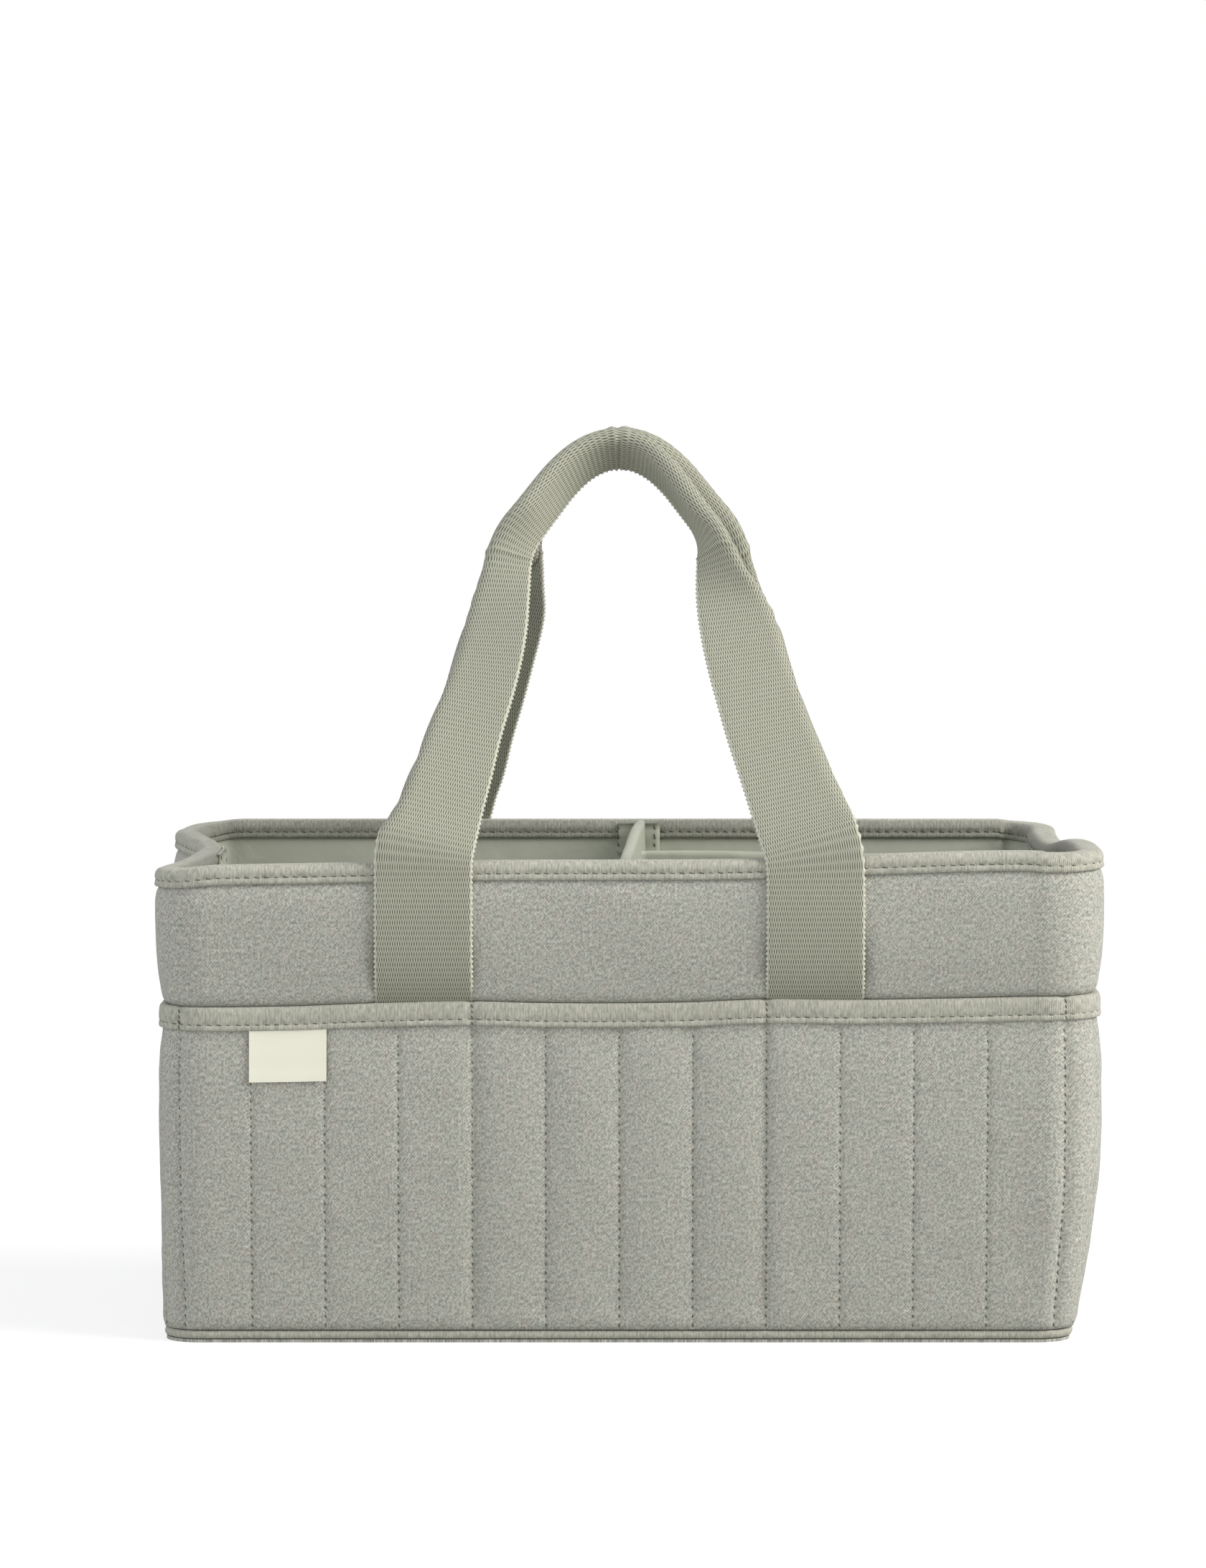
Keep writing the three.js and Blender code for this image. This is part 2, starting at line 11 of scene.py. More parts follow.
import bpy
import numpy as np
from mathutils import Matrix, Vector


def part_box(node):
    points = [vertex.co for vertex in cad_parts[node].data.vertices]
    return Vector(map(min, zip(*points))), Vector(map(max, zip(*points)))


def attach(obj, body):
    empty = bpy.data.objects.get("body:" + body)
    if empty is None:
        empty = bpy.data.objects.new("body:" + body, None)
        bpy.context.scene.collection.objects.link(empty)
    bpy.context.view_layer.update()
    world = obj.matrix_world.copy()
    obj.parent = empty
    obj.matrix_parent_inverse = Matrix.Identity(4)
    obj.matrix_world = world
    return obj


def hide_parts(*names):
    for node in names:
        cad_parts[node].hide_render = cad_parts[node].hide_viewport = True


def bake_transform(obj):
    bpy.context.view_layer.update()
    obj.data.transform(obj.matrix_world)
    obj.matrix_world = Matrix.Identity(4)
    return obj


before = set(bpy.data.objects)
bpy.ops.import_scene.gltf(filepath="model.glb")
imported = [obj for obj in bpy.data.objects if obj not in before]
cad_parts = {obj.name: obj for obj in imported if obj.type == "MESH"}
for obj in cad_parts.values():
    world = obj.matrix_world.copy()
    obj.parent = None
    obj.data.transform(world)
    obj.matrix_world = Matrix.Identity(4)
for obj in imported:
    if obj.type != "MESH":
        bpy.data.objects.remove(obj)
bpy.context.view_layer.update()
scene = bpy.context.scene
print("CAD nodes:", len(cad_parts))

# %% [markdown]
# ## The camera
#
# The picture was taken from almost three metres away and a little above the rim, so a long lens
# and a small tilt give the same flat perspective. A long lens keeps the two rims nearly parallel.

# %% Camera
camera_data = bpy.data.cameras.new("camera")
camera_data.sensor_width = 36
camera_data.lens = 163
camera_data.clip_end = 60
camera = bpy.data.objects.new("camera", camera_data)
camera.location = (-0.0065, -2.895, 0.424)
camera.rotation_euler = (math.radians(90 - 4.13), 0, 0)
scene.collection.objects.link(camera)
scene.camera = camera
scene.view_settings.view_transform = "Standard"
print("Camera at", tuple(camera.location))

# %% [markdown]
# ## Colours and nodes
#
# Colours are written as the hex values that a screen shows. Blender's shaders work in linear light,
# so one function converts them. A second one adds a shader node with its settings and links, and
# the others name the few kinds of node that every material here is made of. That keeps each
# material readable as a list of steps.


# %% Node helpers
def linear(hex_colour):
    channels = [int(hex_colour[i : i + 2], 16) / 255 for i in (1, 3, 5)]
    bright = [c / 12.92 if c <= 0.04045 else ((c + 0.055) / 1.055) ** 2.4 for c in channels]
    return (*bright, 1.0)


def add(tree, kind, inputs=None, **settings):
    made = tree.nodes.new(kind)
    for name, value in settings.items():
        setattr(made, name, value)
    for name, value in (inputs or {}).items():
        if isinstance(value, bpy.types.NodeSocket):
            tree.links.new(value, made.inputs[name])
        else:
            made.inputs[name].default_value = linear(value) if isinstance(value, str) else value
    return made


def fresh_tree(owner):
    """The empty node tree of a world or a material."""
    owner.use_nodes = True
    owner.node_tree.nodes.clear()
    return owner.node_tree


def maths(tree, operation, *values):
    return add(tree, "ShaderNodeMath", dict(enumerate(values)), operation=operation).outputs[0]


def mixed(tree, factor, low, high):
    """A colour between two others, for a factor from 0 to 1."""
    return add(tree, "ShaderNodeMix", {"Factor": factor, 6: low, 7: high}, data_type="RGBA").outputs[2]


def remap(tree, value, start, end, low=0, high=1):
    """Takes the range from start to end to the range from low to high, and keeps values in it."""
    inputs = {"Value": value, "From Min": start, "From Max": end, "To Min": low, "To Max": high}
    return add(tree, "ShaderNodeMapRange", inputs).outputs[0]


def noise(tree, at, scale, detail, roughness=0.5, distortion=0):
    inputs = {"Vector": at, "Scale": scale, "Detail": detail, "Roughness": roughness,
              "Distortion": distortion}
    return add(tree, "ShaderNodeTexNoise", inputs).outputs["Fac"]


def bands(tree, at, spacing, distortion, detail_scale):
    """Wavy lines, this far apart: at a scale of 0.314 the wave texture repeats at every 1."""
    inputs = {"Vector": at, "Scale": 0.314 / spacing, "Distortion": distortion, "Detail": 2,
              "Detail Scale": detail_scale}
    return add(tree, "ShaderNodeTexWave", inputs, wave_type="BANDS", bands_direction="X").outputs["Fac"]


print("Mid grey is", [round(c, 3) for c in linear("#808080")])

# %% [markdown]
# ## Studio light and floor
#
# The photograph has a white sweep and one large soft light from the right, so the right corner is
# bright, the left one is darker and a faint shadow falls to the left. The world gives an even fill,
# and a low white card in front lights the front wall but not the inside of the caddy.
# The floor is white to the camera through its own glow, and only a thin diffuse layer on it catches
# the shadow. That way the background is white without more light on the cloth.

# %% World
world = bpy.data.worlds.new("studio")
scene.world = world
tree = fresh_tree(world)
seen = add(tree, "ShaderNodeLightPath").outputs
fill = add(tree, "ShaderNodeBackground", {"Color": "#fbfcff", "Strength": 0.36})
white = add(tree, "ShaderNodeBackground", {"Color": "#ffffff", "Strength": 1})
shown = maths(tree, "MAXIMUM", seen["Is Camera Ray"], seen["Is Glossy Ray"])
both = add(tree, "ShaderNodeMixShader", {0: shown, 1: fill.outputs[0], 2: white.outputs[0]})
add(tree, "ShaderNodeOutputWorld", {"Surface": both.outputs[0]})
print("Made", world.name, "with", len(tree.nodes), "nodes")


# %% Lamps
def soft_light(name, place, target, width, height, watts, colour):
    lamp = bpy.data.lights.new(name, "AREA")
    lamp.shape = "RECTANGLE"
    lamp.size = width
    lamp.size_y = height
    lamp.energy = watts
    lamp.color = linear(colour)[:3]
    made = bpy.data.objects.new(name, lamp)
    made.location = place
    aim = Vector(target) - made.location
    made.rotation_euler = aim.to_track_quat("-Z", "Y").to_euler()
    scene.collection.objects.link(made)
    print(name, "at", place)


soft_light("key", (2.55, -0.88, 1.95), (0, 0, 0.15), 2.1, 2.1, 125, "#fffcf7")
soft_light("left_fill", (-2.7, -0.9, 1.1), (0, 0, 0.15), 2.0, 2.0, 29, "#fafcff")
soft_light("top_fill", (-0.7, -0.3, 2.6), (0, 0, 0.2), 1.6, 1.6, 8, "#fdfdff")
# A white card that stands on the floor in front: it lights the front wall and not the inside
soft_light("low_card", (0, -2.3, 0.09), (0, 0, 0.1), 1.8, 0.17, 10.5, "#ffffff")

# %% Floor
floor_reach = 9
floor_corners = [(x * floor_reach, y * floor_reach, 0) for x, y in ((-1, -1), (1, -1), (1, 1), (-1, 1))]
floor_mesh = bpy.data.meshes.new("floor")
floor_mesh.from_pydata(floor_corners, [], [(0, 1, 2, 3)])
floor = bpy.data.objects.new("floor", floor_mesh)
scene.collection.objects.link(floor)

# White paper sweep: bright and dull, so it shows a shadow and no reflection. The shadow is only
# caught within a metre of the caddy, and farther out the paper is as white as the world.
paper = bpy.data.materials.new("white_paper_sweep")
tree = fresh_tree(paper)
seen = add(tree, "ShaderNodeLightPath").outputs
glow = add(tree, "ShaderNodeEmission", {"Color": "#ffffff", "Strength": 0.7})
catcher = add(tree, "ShaderNodeBsdfDiffuse", {"Color": "#acacac"})
near = add(tree, "ShaderNodeAddShader", {0: glow.outputs[0], 1: catcher.outputs[0]})
far = add(tree, "ShaderNodeEmission", {"Color": "#ffffff", "Strength": 1})
at = add(tree, "ShaderNodeTexCoord").outputs["Object"]
away = add(tree, "ShaderNodeVectorMath", {0: at}, operation="LENGTH").outputs["Value"]
fade = remap(tree, away, 0.4, 1)
shown_floor = add(tree, "ShaderNodeMixShader", {0: fade, 1: near.outputs[0], 2: far.outputs[0]})
bounce = add(tree, "ShaderNodeBsdfDiffuse", {"Color": "#b8b8b6"})
both = add(tree, "ShaderNodeMixShader",
           {0: seen["Is Camera Ray"], 1: bounce.outputs[0], 2: shown_floor.outputs[0]})
add(tree, "ShaderNodeOutputMaterial", {"Surface": both.outputs[0]})
floor_mesh.materials.append(paper)
print("Floor", 2 * floor_reach, "m wide, in", paper.name)

# %% [markdown]
# ## Sizes
#
# Sizes are in millimetres, as a sewing pattern has them, and only the function that makes a mesh
# turns them into Blender's metres. They repeat the driving sizes of the CAD model. The outline of
# the caddy is a rounded rectangle. A place on it is given by how far round the caddy it is, from
# the middle of the front to the right, and a point then stands off it by an offset and a height.

# %% Driving sizes
MILLIMETRE = 0.001
base_width = 360
base_depth = 205
corner_radius = 16
rim_height = 192.5
sewn_gap = 0.3

band_foot = 5.3
band_top = 135.4
band_swell = 6.4
rim_tape = 7.6  # width of the rim binding that shows on each side
pocket_tape = 9.4
stitch_pitch = 3.8  # along the bindings
quilt_pitch = 3.5  # along the quilting seams

flat_x = base_width / 2 - corner_radius
flat_y = base_depth / 2 - corner_radius
arc_radius = corner_radius + band_swell / 2
corner_arc = math.pi / 2 * arc_radius
stops = np.cumsum([0, flat_x, corner_arc, 2 * flat_y, corner_arc, flat_x])
half_round = stops[-1]
rim_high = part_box("rim_binding")[1]
print("Rim top in the frame:", round(rim_high.z / MILLIMETRE, 1), "mm, here:", rim_height)
print("Distance round the caddy:", round(2 * half_round), "mm")


# %% Curves and outline
def ease(value, start, end):
    share = np.clip((np.asarray(value, float) - start) / (end - start), 0, 1)
    return share * share * (3 - 2 * share)


def through(places, knots, values):
    """A smooth curve through the values at the knots, read at the places."""
    knots, values = np.asarray(knots, float), np.asarray(values, float)
    places = np.clip(places, knots[0], knots[-1])
    slopes = np.gradient(values, knots, axis=0)
    low = np.clip(np.searchsorted(knots, places, side="right") - 1, 0, len(knots) - 2)
    width = knots[low + 1] - knots[low]
    t = (places - knots[low]) / width
    if values.ndim == 2:
        t, width = t[..., None], width[..., None]
    start = (1 + 2 * t) * (1 - t) ** 2 * values[low] + t * (1 - t) ** 2 * width * slopes[low]
    end = t * t * (3 - 2 * t) * values[low + 1] + t * t * (t - 1) * width * slopes[low + 1]
    return start + end


def outline(around):
    """The point that the outline's normal starts from, and the normal, as x and y."""
    side = np.where(around < 0, -1.0, 1.0)
    run = np.abs(around)
    turn = np.radians(np.interp(run, stops, [-90, -90, 0, 0, 90, 90]))
    x = np.interp(run, stops, [0, flat_x, flat_x, flat_x, flat_x, 0])
    y = np.interp(run, stops, [-flat_y, -flat_y, -flat_y, flat_y, flat_y, flat_y])
    return np.stack([x * side, y], -1), np.stack([np.cos(turn) * side, np.sin(turn)], -1)


def facing(around):
    """The way the wall faces at these places, level, as x, y and z."""
    return np.pad(outline(around)[1], ((0, 0), (0, 1)))


def places_round(count):
    """Even places round the caddy, from the middle of the back to just before it."""
    return (np.arange(count) / count * 2 - 1) * half_round


def drift(around, height, seed, size, length):
    """Slow unevenness of cloth: a few crossing waves of about this size and length."""
    rng = np.random.default_rng(seed)
    total = 0
    for _ in range(7):
        direction = rng.uniform(0, math.pi)
        wave = 2 * math.pi / (length * rng.uniform(0.7, 1.6))
        phase = rng.uniform(0, 2 * math.pi)
        total = total + np.sin(wave * (np.cos(direction) * around + np.sin(direction) * height) + phase)
    return total * size / 3


# %% [markdown]
# ## How the soft box has settled
#
# Nothing on a sewn box is straight. The walls lean a little to the right, the front rim climbs
# towards the right corner, the pocket edge dips between its seams, and the side walls are creased
# inwards where the box folds flat. All the outer pieces go through one function that moves them
# together, so that layers which are sewn to each other stay together.

# %% Settling
lean_at = [0, 20, 60, 100, 135, 160, 190]
lean_left = [2.5, 0.6, -2, -3, -2.7, -2, -1.4]  # outward is positive
lean_right = [1.5, 3.2, 5.9, 5.6, 5.5, 5.7, 5.7]
rim_lift_at = [-190, -158, -125, -60, 0, 40, 90, 129, 160, 176, 190]
rim_lift = [-2.6, -2, -1.4, -0.2, 0, 0.2, 1.8, 3.1, 3.7, 3.4, 4]
band_lift_at = [-185, -158, -130, -97, -60, -30, 0, 27, 58, 95, 130, 168, 190]
band_lift = [-2, -2.2, -1.8, -0.6, 0.2, -0.5, -0.6, -0.2, 1, 0.8, 1.3, 2.1, 2.4]
pinch_at = [-112, -86, -55, -25, -5, 8, 20, 36, 58, 86, 112]
pinch_left = [0, 2.5, 6, 10, 12, 12.5, 10.5, 6, 1.5, 3, 5]
pinch_right = [2, 1.5, 2, 4, 5.5, 6.5, 7.8, 9.2, 10.4, 9.6, 7.5]
dip_left = [1.2, 1.5, 2.5, 3, 2.5, 2, 1.5, 1, 1, 1.5, 0.5]
dip_right = [0.5, 0.5, 0.5, 1, 2.5, 3.5, 4, 3.5, 2, 1.5, 0.5]
# The ranges of height, or of distance from the middle, over which each of these sets in
band_zone = (60, 130)
rim_zone = (142, 182)
pinch_zone = (120, 186)
side_zone = (158, 176)
binding_zone = (150, 187)


def settle(around, offset, height, padding=1.0):
    """Where a point of the straight box ends up: its offset, how far it is pinched in at the sides,
    and its height. Padding is 0 for the layers inside the boards."""
    centre, normal = outline(around)
    x = centre[..., 0] + normal[..., 0] * (corner_radius + offset)
    y = centre[..., 1] + normal[..., 1] * (corner_radius + offset)
    lean_out = [through(height, lean_at, lean) for lean in (lean_right, lean_left)]
    tilt = np.where(normal[..., 0] > 0, *lean_out)
    at_front = ease(-y, -60, 60)
    rim_share = ease(height, *rim_zone)
    rise = through(x, band_lift_at, band_lift) * (ease(height, *band_zone) * (1 - rim_share))
    rise = rise + through(x, rim_lift_at, rim_lift) * rim_share
    at_side = ease(np.abs(x), *side_zone) * ease(height, *pinch_zone)
    # The rim binding holds all layers together
    held = np.maximum(padding, ease(height, *binding_zone))
    pinch = np.where(x < 0, through(y, pinch_at, pinch_left), through(y, pinch_at, pinch_right) * held)
    dip = np.where(x < 0, through(y, pinch_at, dip_left), through(y, pinch_at, dip_right))
    squeeze = 0.35 * np.exp(-(((y - 5) / 20) ** 2)) * (x < 0) * at_side * (offset > 0)
    moved = offset * (1 - squeeze) + tilt * np.abs(normal[..., 0]) * held
    lifted = height + rise * at_front * ease(height, 20, 100) - dip * at_side
    return moved, pinch * at_side, lifted


def on_wall(around, offset, height, padding=1.0):
    """Points in space for places on the wall."""
    around, offset, height = np.broadcast_arrays(around, offset, height)
    moved, pushed, lifted = settle(around, offset, height, padding)
    centre, normal = outline(around)
    flat = centre + normal * (corner_radius + moved)[..., None]
    x = flat[..., 0] - np.sign(flat[..., 0]) * pushed
    return np.stack([x, flat[..., 1], lifted], -1)


print("Front, right and left rim:", on_wall(np.array([0, 280, -280]), 8, 192).round(1).tolist())

# %% [markdown]
# ## From a grid of points to a piece
#
# Cloth pieces are grids: rows of points up the cloth and columns along it. Each point also gets a
# cloth coordinate in millimetres, kept as a UV map, so that a weave follows the cloth round corners
# and folds instead of cutting through it. Every piece is a closed body with a real thickness.


# %% Mesh helpers
def grid_mesh(name, points, across, along, round_trip=False):
    """A closed mesh. The rows of points are closed loops when each row is a section, and with
    round_trip the last column joins the first too. Across and along have one more row than points,
    and with round_trip one more column, for the cloth coordinates at the joins."""
    rows, columns = points.shape[:2]
    spans = columns if round_trip else columns - 1
    i, j = np.meshgrid(np.arange(rows), np.arange(spans), indexing="ij")
    i, j = i.ravel(), j.ravel()
    up, on = (i + 1) % rows, (j + 1) % columns
    quads = np.stack([i * columns + j, i * columns + on, up * columns + on, up * columns + j], -1)
    corner_rows = np.stack([i, i, i + 1, i + 1], -1)
    corner_columns = np.stack([j, j + 1, j + 1, j], -1)
    cloth = np.stack([across[corner_rows, corner_columns], along[corner_rows, corner_columns]], -1)
    flat = points.reshape(-1, 3)
    a, b, c = (flat[quads[:, k]] for k in (0, 1, 2))
    d = flat[quads[:, 3]]
    volume = np.sum(a * np.cross(b, c)) + np.sum(a * np.cross(c, d))
    faces = quads.tolist()
    cloth = cloth.reshape(-1, 2)
    if not round_trip:
        first = (np.arange(rows) * columns)[::-1]
        last = np.arange(rows) * columns + columns - 1
        faces += [first.tolist(), last.tolist()]
        ends = np.stack([across[:rows, 0][::-1], along[:rows, 0][::-1]], -1)
        tails = np.stack([across[:rows, -1], along[:rows, -1]], -1)
        cloth = np.concatenate([cloth, ends, tails])
    mesh = bpy.data.meshes.new(name)
    mesh.from_pydata((flat * MILLIMETRE).tolist(), [], faces)
    mesh.uv_layers.new(name="cloth").data.foreach_set("uv", cloth.ravel())
    if volume < 0:
        mesh.flip_normals()
    mesh.shade_smooth()
    return mesh


def lengths(points, axis):
    """Distance along a grid of points, from the first one."""
    steps = np.linalg.norm(np.diff(points, axis=axis), axis=-1)
    first = np.zeros_like(np.take(steps, [0], axis=axis))
    return np.concatenate([first, np.cumsum(steps, axis=axis)], axis=axis)


def place(name, mesh, slot, stands_for=(), body="shell", material=None):
    """Puts a finished mesh in the scene, in the cloth of its slot, on the body that carries it."""
    made = bpy.data.objects.new(name, mesh)
    mesh.materials.append(material or cloths[slot])
    scene.collection.objects.link(made)
    if body:
        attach(made, body)
    if stands_for:
        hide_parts(*stands_for)
    print(f"{name}: {len(mesh.vertices)} points")
    return made


def round_piece(name, around, points, slot, stands_for):
    """A piece that goes right round the caddy, from a closed section of points at each place."""
    looped = np.concatenate([points, points[:1]])
    along = lengths(np.concatenate([looped, looped[:, :1]], 1), 0)
    across = np.append(around, around[0] + 2 * half_round)[None, :] + 0 * along
    return place(name, grid_mesh(name, points, across, along, round_trip=True), slot, stands_for)


def ring(name, around, section, slot, stands_for):
    """A round piece on the wall. The section gives offset and height, each with one row for each
    of its points and one column for each place round the caddy, or a single one for all."""
    return round_piece(name, around, on_wall(around[None, :], *section), slot, stands_for)


def even(section):
    """A section that is the same all the way round."""
    return np.array(section, float).T[..., None]


def two_faces(face, face_rows, back, back_rows):
    """A section whose outer face varies round the caddy and whose back is the same all round."""
    offset = np.concatenate([face, back[:, None] + 0 * face[:1]])
    return offset, np.concatenate([face_rows, back_rows])[:, None]


# %% [markdown]
# ## Stitches
#
# A lockstitch seam shows as a row of short slanted threads that dive into the cloth at both ends.
# At this size they are real geometry: each one is a small bent capsule. All stitches of one seam
# share one mesh.

# %% Stitch maker
stitch_profile = [(-1, 0.25), (-0.82, 0.8), (-0.4, 1), (0.4, 1), (0.82, 0.8), (1, 0.25)]


def stitches(name, middles, ahead, out, material, body="shell", length=2.6, thickness=0.62, slant=12):
    """Threads at the middles, pointing ahead along the seam, lying on cloth that faces out."""
    ahead = ahead / np.linalg.norm(ahead, axis=-1, keepdims=True)
    out = out / np.linalg.norm(out, axis=-1, keepdims=True)
    side = np.cross(out, ahead)
    side = side / np.linalg.norm(side, axis=-1, keepdims=True)
    turn = math.radians(slant)
    run = ahead * math.cos(turn) + side * math.sin(turn)
    side = np.cross(out, run)
    corners = np.arange(6) * math.pi / 3
    loops = []
    for share, fullness in stitch_profile:
        centre = middles + run * share * length / 2 - out * thickness * 0.75 * share**2
        radius = thickness / 2 * fullness
        loops.append([
            centre + side * math.cos(angle) * radius + out * math.sin(angle) * radius * 0.8
            for angle in corners
        ])
    points = np.transpose(np.array(loops), (2, 0, 1, 3))
    count, rows, columns = points.shape[:3]
    corner = np.arange(rows * columns).reshape(rows, columns)
    beside = np.roll(corner, -1, axis=1)
    quads = np.stack([corner[:-1], beside[:-1], beside[1:], corner[1:]], -1).reshape(-1, 4)
    firsts = (np.arange(count) * rows * columns)[:, None, None]
    faces = []
    for part in (quads, np.stack([corner[0, ::-1], corner[-1]])):
        faces += (firsts + part).reshape(-1, part.shape[1]).tolist()
    mesh = bpy.data.meshes.new(name)
    mesh.from_pydata((points.reshape(-1, 3) * MILLIMETRE).tolist(), [], faces)
    mesh.shade_smooth()
    return place(name, mesh, None, body=body, material=material)


def seam_round(name, offset_at, height, outward=1, **more):
    """A seam that goes round the caddy at one height."""
    around = places_round(round(2 * half_round / stitch_pitch))
    here, ahead = (on_wall(around + step, offset_at(around + step), height) for step in (0, 0.5))
    return stitches(name, here, ahead - here, facing(around) * outward, thread_with_painted_shade, **more)


def seam_up(name, arounds, heights, offset_at, padding=1.0, outward=1, **more):
    """Seams that run up the wall, at these places round the caddy."""
    around, height = np.repeat(arounds, len(heights)), np.tile(heights, len(arounds))
    here, ahead = (on_wall(around, offset_at(around, height + step), height + step, padding)
                   for step in (0, 0.5))
    return stitches(name, here, ahead - here, facing(around) * outward, thread_with_painted_shade, **more)


# %% [markdown]
# ## Sewing thread
#
# Polyester sewing thread, spun from fine fibres, in a green grey darker than the cloth. The seams
# of the cloth are sewn in a thread that is darker still, as painted shade of the holes it dives into.
# It is smooth enough for a faint shine, and its ply is too fine to show, so a little noise stands for it.

# %% Thread
def cloth_material(name, roughness, sheen=0):
    """A material with its shader, and the cloth coordinates in millimetres."""
    made = bpy.data.materials.new(name)
    tree = fresh_tree(made)
    shader = add(tree, "ShaderNodeBsdfPrincipled", {"Roughness": roughness, "Sheen Weight": sheen})
    add(tree, "ShaderNodeOutputMaterial", {"Surface": shader.outputs[0]})
    cloth = add(tree, "ShaderNodeUVMap", uv_map="cloth").outputs["UV"]
    return made, tree, shader, cloth


def colour_it(tree, shader, colour, shade):
    """Gives the shader a colour, made lighter or darker by the shade."""
    toned = add(tree, "ShaderNodeVectorMath", {0: colour, "Scale": shade}, operation="SCALE")
    tree.links.new(toned.outputs[0], shader.inputs["Base Color"])


def emboss(tree, shader, height, strength, depth, **under):
    """Gives the shader a relief, this many millimetres deep."""
    inputs = {"Height": height, "Strength": strength, "Distance": depth * MILLIMETRE, **under}
    tree.links.new(add(tree, "ShaderNodeBump", inputs).outputs[0], shader.inputs["Normal"])


def spun_polyester_thread(name, colour):
    made, tree, shader, _ = cloth_material(name, 0.6)
    at = add(tree, "ShaderNodeTexCoord").outputs["Object"]
    pale = tuple(c * 1.5 for c in linear(colour)[:3]) + (1,)
    tree.links.new(mixed(tree, noise(tree, at, 1800, 2), colour, pale), shader.inputs["Base Color"])
    return made


# This colour is darker than the real thread: it holds painted shade of the stitch holes
thread_with_painted_shade = spun_polyester_thread("spun_polyester_thread", "#4d5144")
print("Made", thread_with_painted_shade.name)

# %% [markdown]
# ## Heather cloth
#
# The walls and pockets are a polyester twill woven from melange yarn: grey, beige and green fibres
# are mixed before spinning. Near by it shows fine diagonal lines, a salt and pepper of single
# yarns, thick and thin places, and warmer and greener patches about half a centimetre wide. The
# lines are a wave and each of the others is a noise of its own size.


# %% Heather cloth
def melange_twill(name, pale, warm, green, dark):
    made, tree, shader, cloth = cloth_material(name, 0.92, 0.15)
    # Read away from the origin, the noises are nearly as strong low on the wall as high on it
    cloth = add(tree, "ShaderNodeVectorMath", {0: cloth, 1: (600, 600, 0)}, operation="ADD").outputs[0]
    # Twill lines, 0.9 mm apart, drawn about twice as coarse as the real ones so that they show
    turned = add(tree, "ShaderNodeMapping", {"Vector": cloth, "Rotation": (0, 0, math.radians(38))})
    twill = bands(tree, turned.outputs[0], 0.9, 1.6, 3)
    # Single yarns: about 0.9 mm wide and 1.3 mm long
    drawn = add(tree, "ShaderNodeMapping", {"Vector": cloth, "Scale": (1.1, 0.8, 1)})
    yarn = noise(tree, drawn.outputs[0], 1, 3, 0.75)
    slub = noise(tree, cloth, 0.42, 3, 0.7)
    # Patches of warmer and greener yarn, 5 mm across, broken up by smaller ones
    patch = noise(tree, cloth, 0.2, 5, 0.72)
    ground = mixed(tree, remap(tree, patch, 0.38, 0.62), green, warm)
    speckled = mixed(tree, remap(tree, yarn, 0.39, 0.61), dark, pale)
    lines = remap(tree, twill, 0, 1, 0.86, 1.1)
    uneven = remap(tree, slub, 0.3, 0.7, 0.84, 1.16)
    colour_it(tree, shader, mixed(tree, 0.57, ground, speckled), maths(tree, "MULTIPLY", lines, uneven))
    emboss(tree, shader, maths(tree, "ADD", twill, yarn), 0.35, 0.25)
    return made


heather = melange_twill("melange_polyester_twill", "#cccdc5", "#aea79d", "#9fa59a", "#6f7269")
print("Made", heather.name)

# %% [markdown]
# ## Binding cloth
#
# The bindings are the same yarn in a plain rib, cut along the rib and folded over the edge. The rib
# lines stand across the tape, 0.6 mm apart, and some yarns are lighter. The half of the tape that is
# turned to the inside of the rim is painted darker, as shade.


# %% Binding cloth
def ribbed_binding(name, pale, middle_tone, dark):
    made, tree, shader, cloth = cloth_material(name, 0.88, 0.15)
    rib = bands(tree, cloth, 0.6, 1.2, 2)
    drawn = add(tree, "ShaderNodeMapping", {"Vector": cloth, "Scale": (1.1, 0.3, 1)})
    yarn = noise(tree, drawn.outputs[0], 1, 4, 0.7)
    patch = noise(tree, cloth, 0.06, 3)
    tone = mixed(tree, remap(tree, yarn, 0.38, 0.62), dark, pale)
    lines = remap(tree, rib, 0, 1, 0.82, 1.14)
    uneven = remap(tree, patch, 0.3, 0.7, 0.94, 1.06)
    # The half of the tape that is folded to the inside, more than 16 mm from its outer edge, is painted
    # darker: painted shade for the inside of the rim, where no light from the floor reaches
    from_edge = add(tree, "ShaderNodeSeparateXYZ", {0: cloth}).outputs["Y"]
    painted_inside_shade = remap(tree, from_edge, 15, 17.5, 1, 0.7)
    shade = maths(tree, "MULTIPLY", maths(tree, "MULTIPLY", lines, uneven), painted_inside_shade)
    colour_it(tree, shader, mixed(tree, 0.45, tone, middle_tone), shade)
    emboss(tree, shader, rib, 0.4, 0.22)
    return made


binding_cloth = ribbed_binding("ribbed_polyester_binding", "#c8c8bb", "#a7a69a", "#828478")
print("Made", binding_cloth.name)

# %% [markdown]
# ## Lining
#
# The lining is a smooth taffeta: filament polyester in a very fine plain weave. It has no melange,
# is greener than the walls and has a slight satin shine, so soft creases show in it.


# %% Lining
def filament_taffeta(name, colour, shade_colour):
    made, tree, shader, cloth = cloth_material(name, 0.58, 0.1)
    weave = noise(tree, cloth, 2.4, 3, 0.7)
    crease = noise(tree, cloth, 0.045, 3, distortion=0.6)
    tree.links.new(mixed(tree, weave, shade_colour, colour), shader.inputs["Base Color"])
    soft = add(tree, "ShaderNodeBump", {"Height": crease, "Strength": 0.5, "Distance": 2.5 * MILLIMETRE})
    emboss(tree, shader, weave, 0.2, 0.08, Normal=soft.outputs[0])
    return made


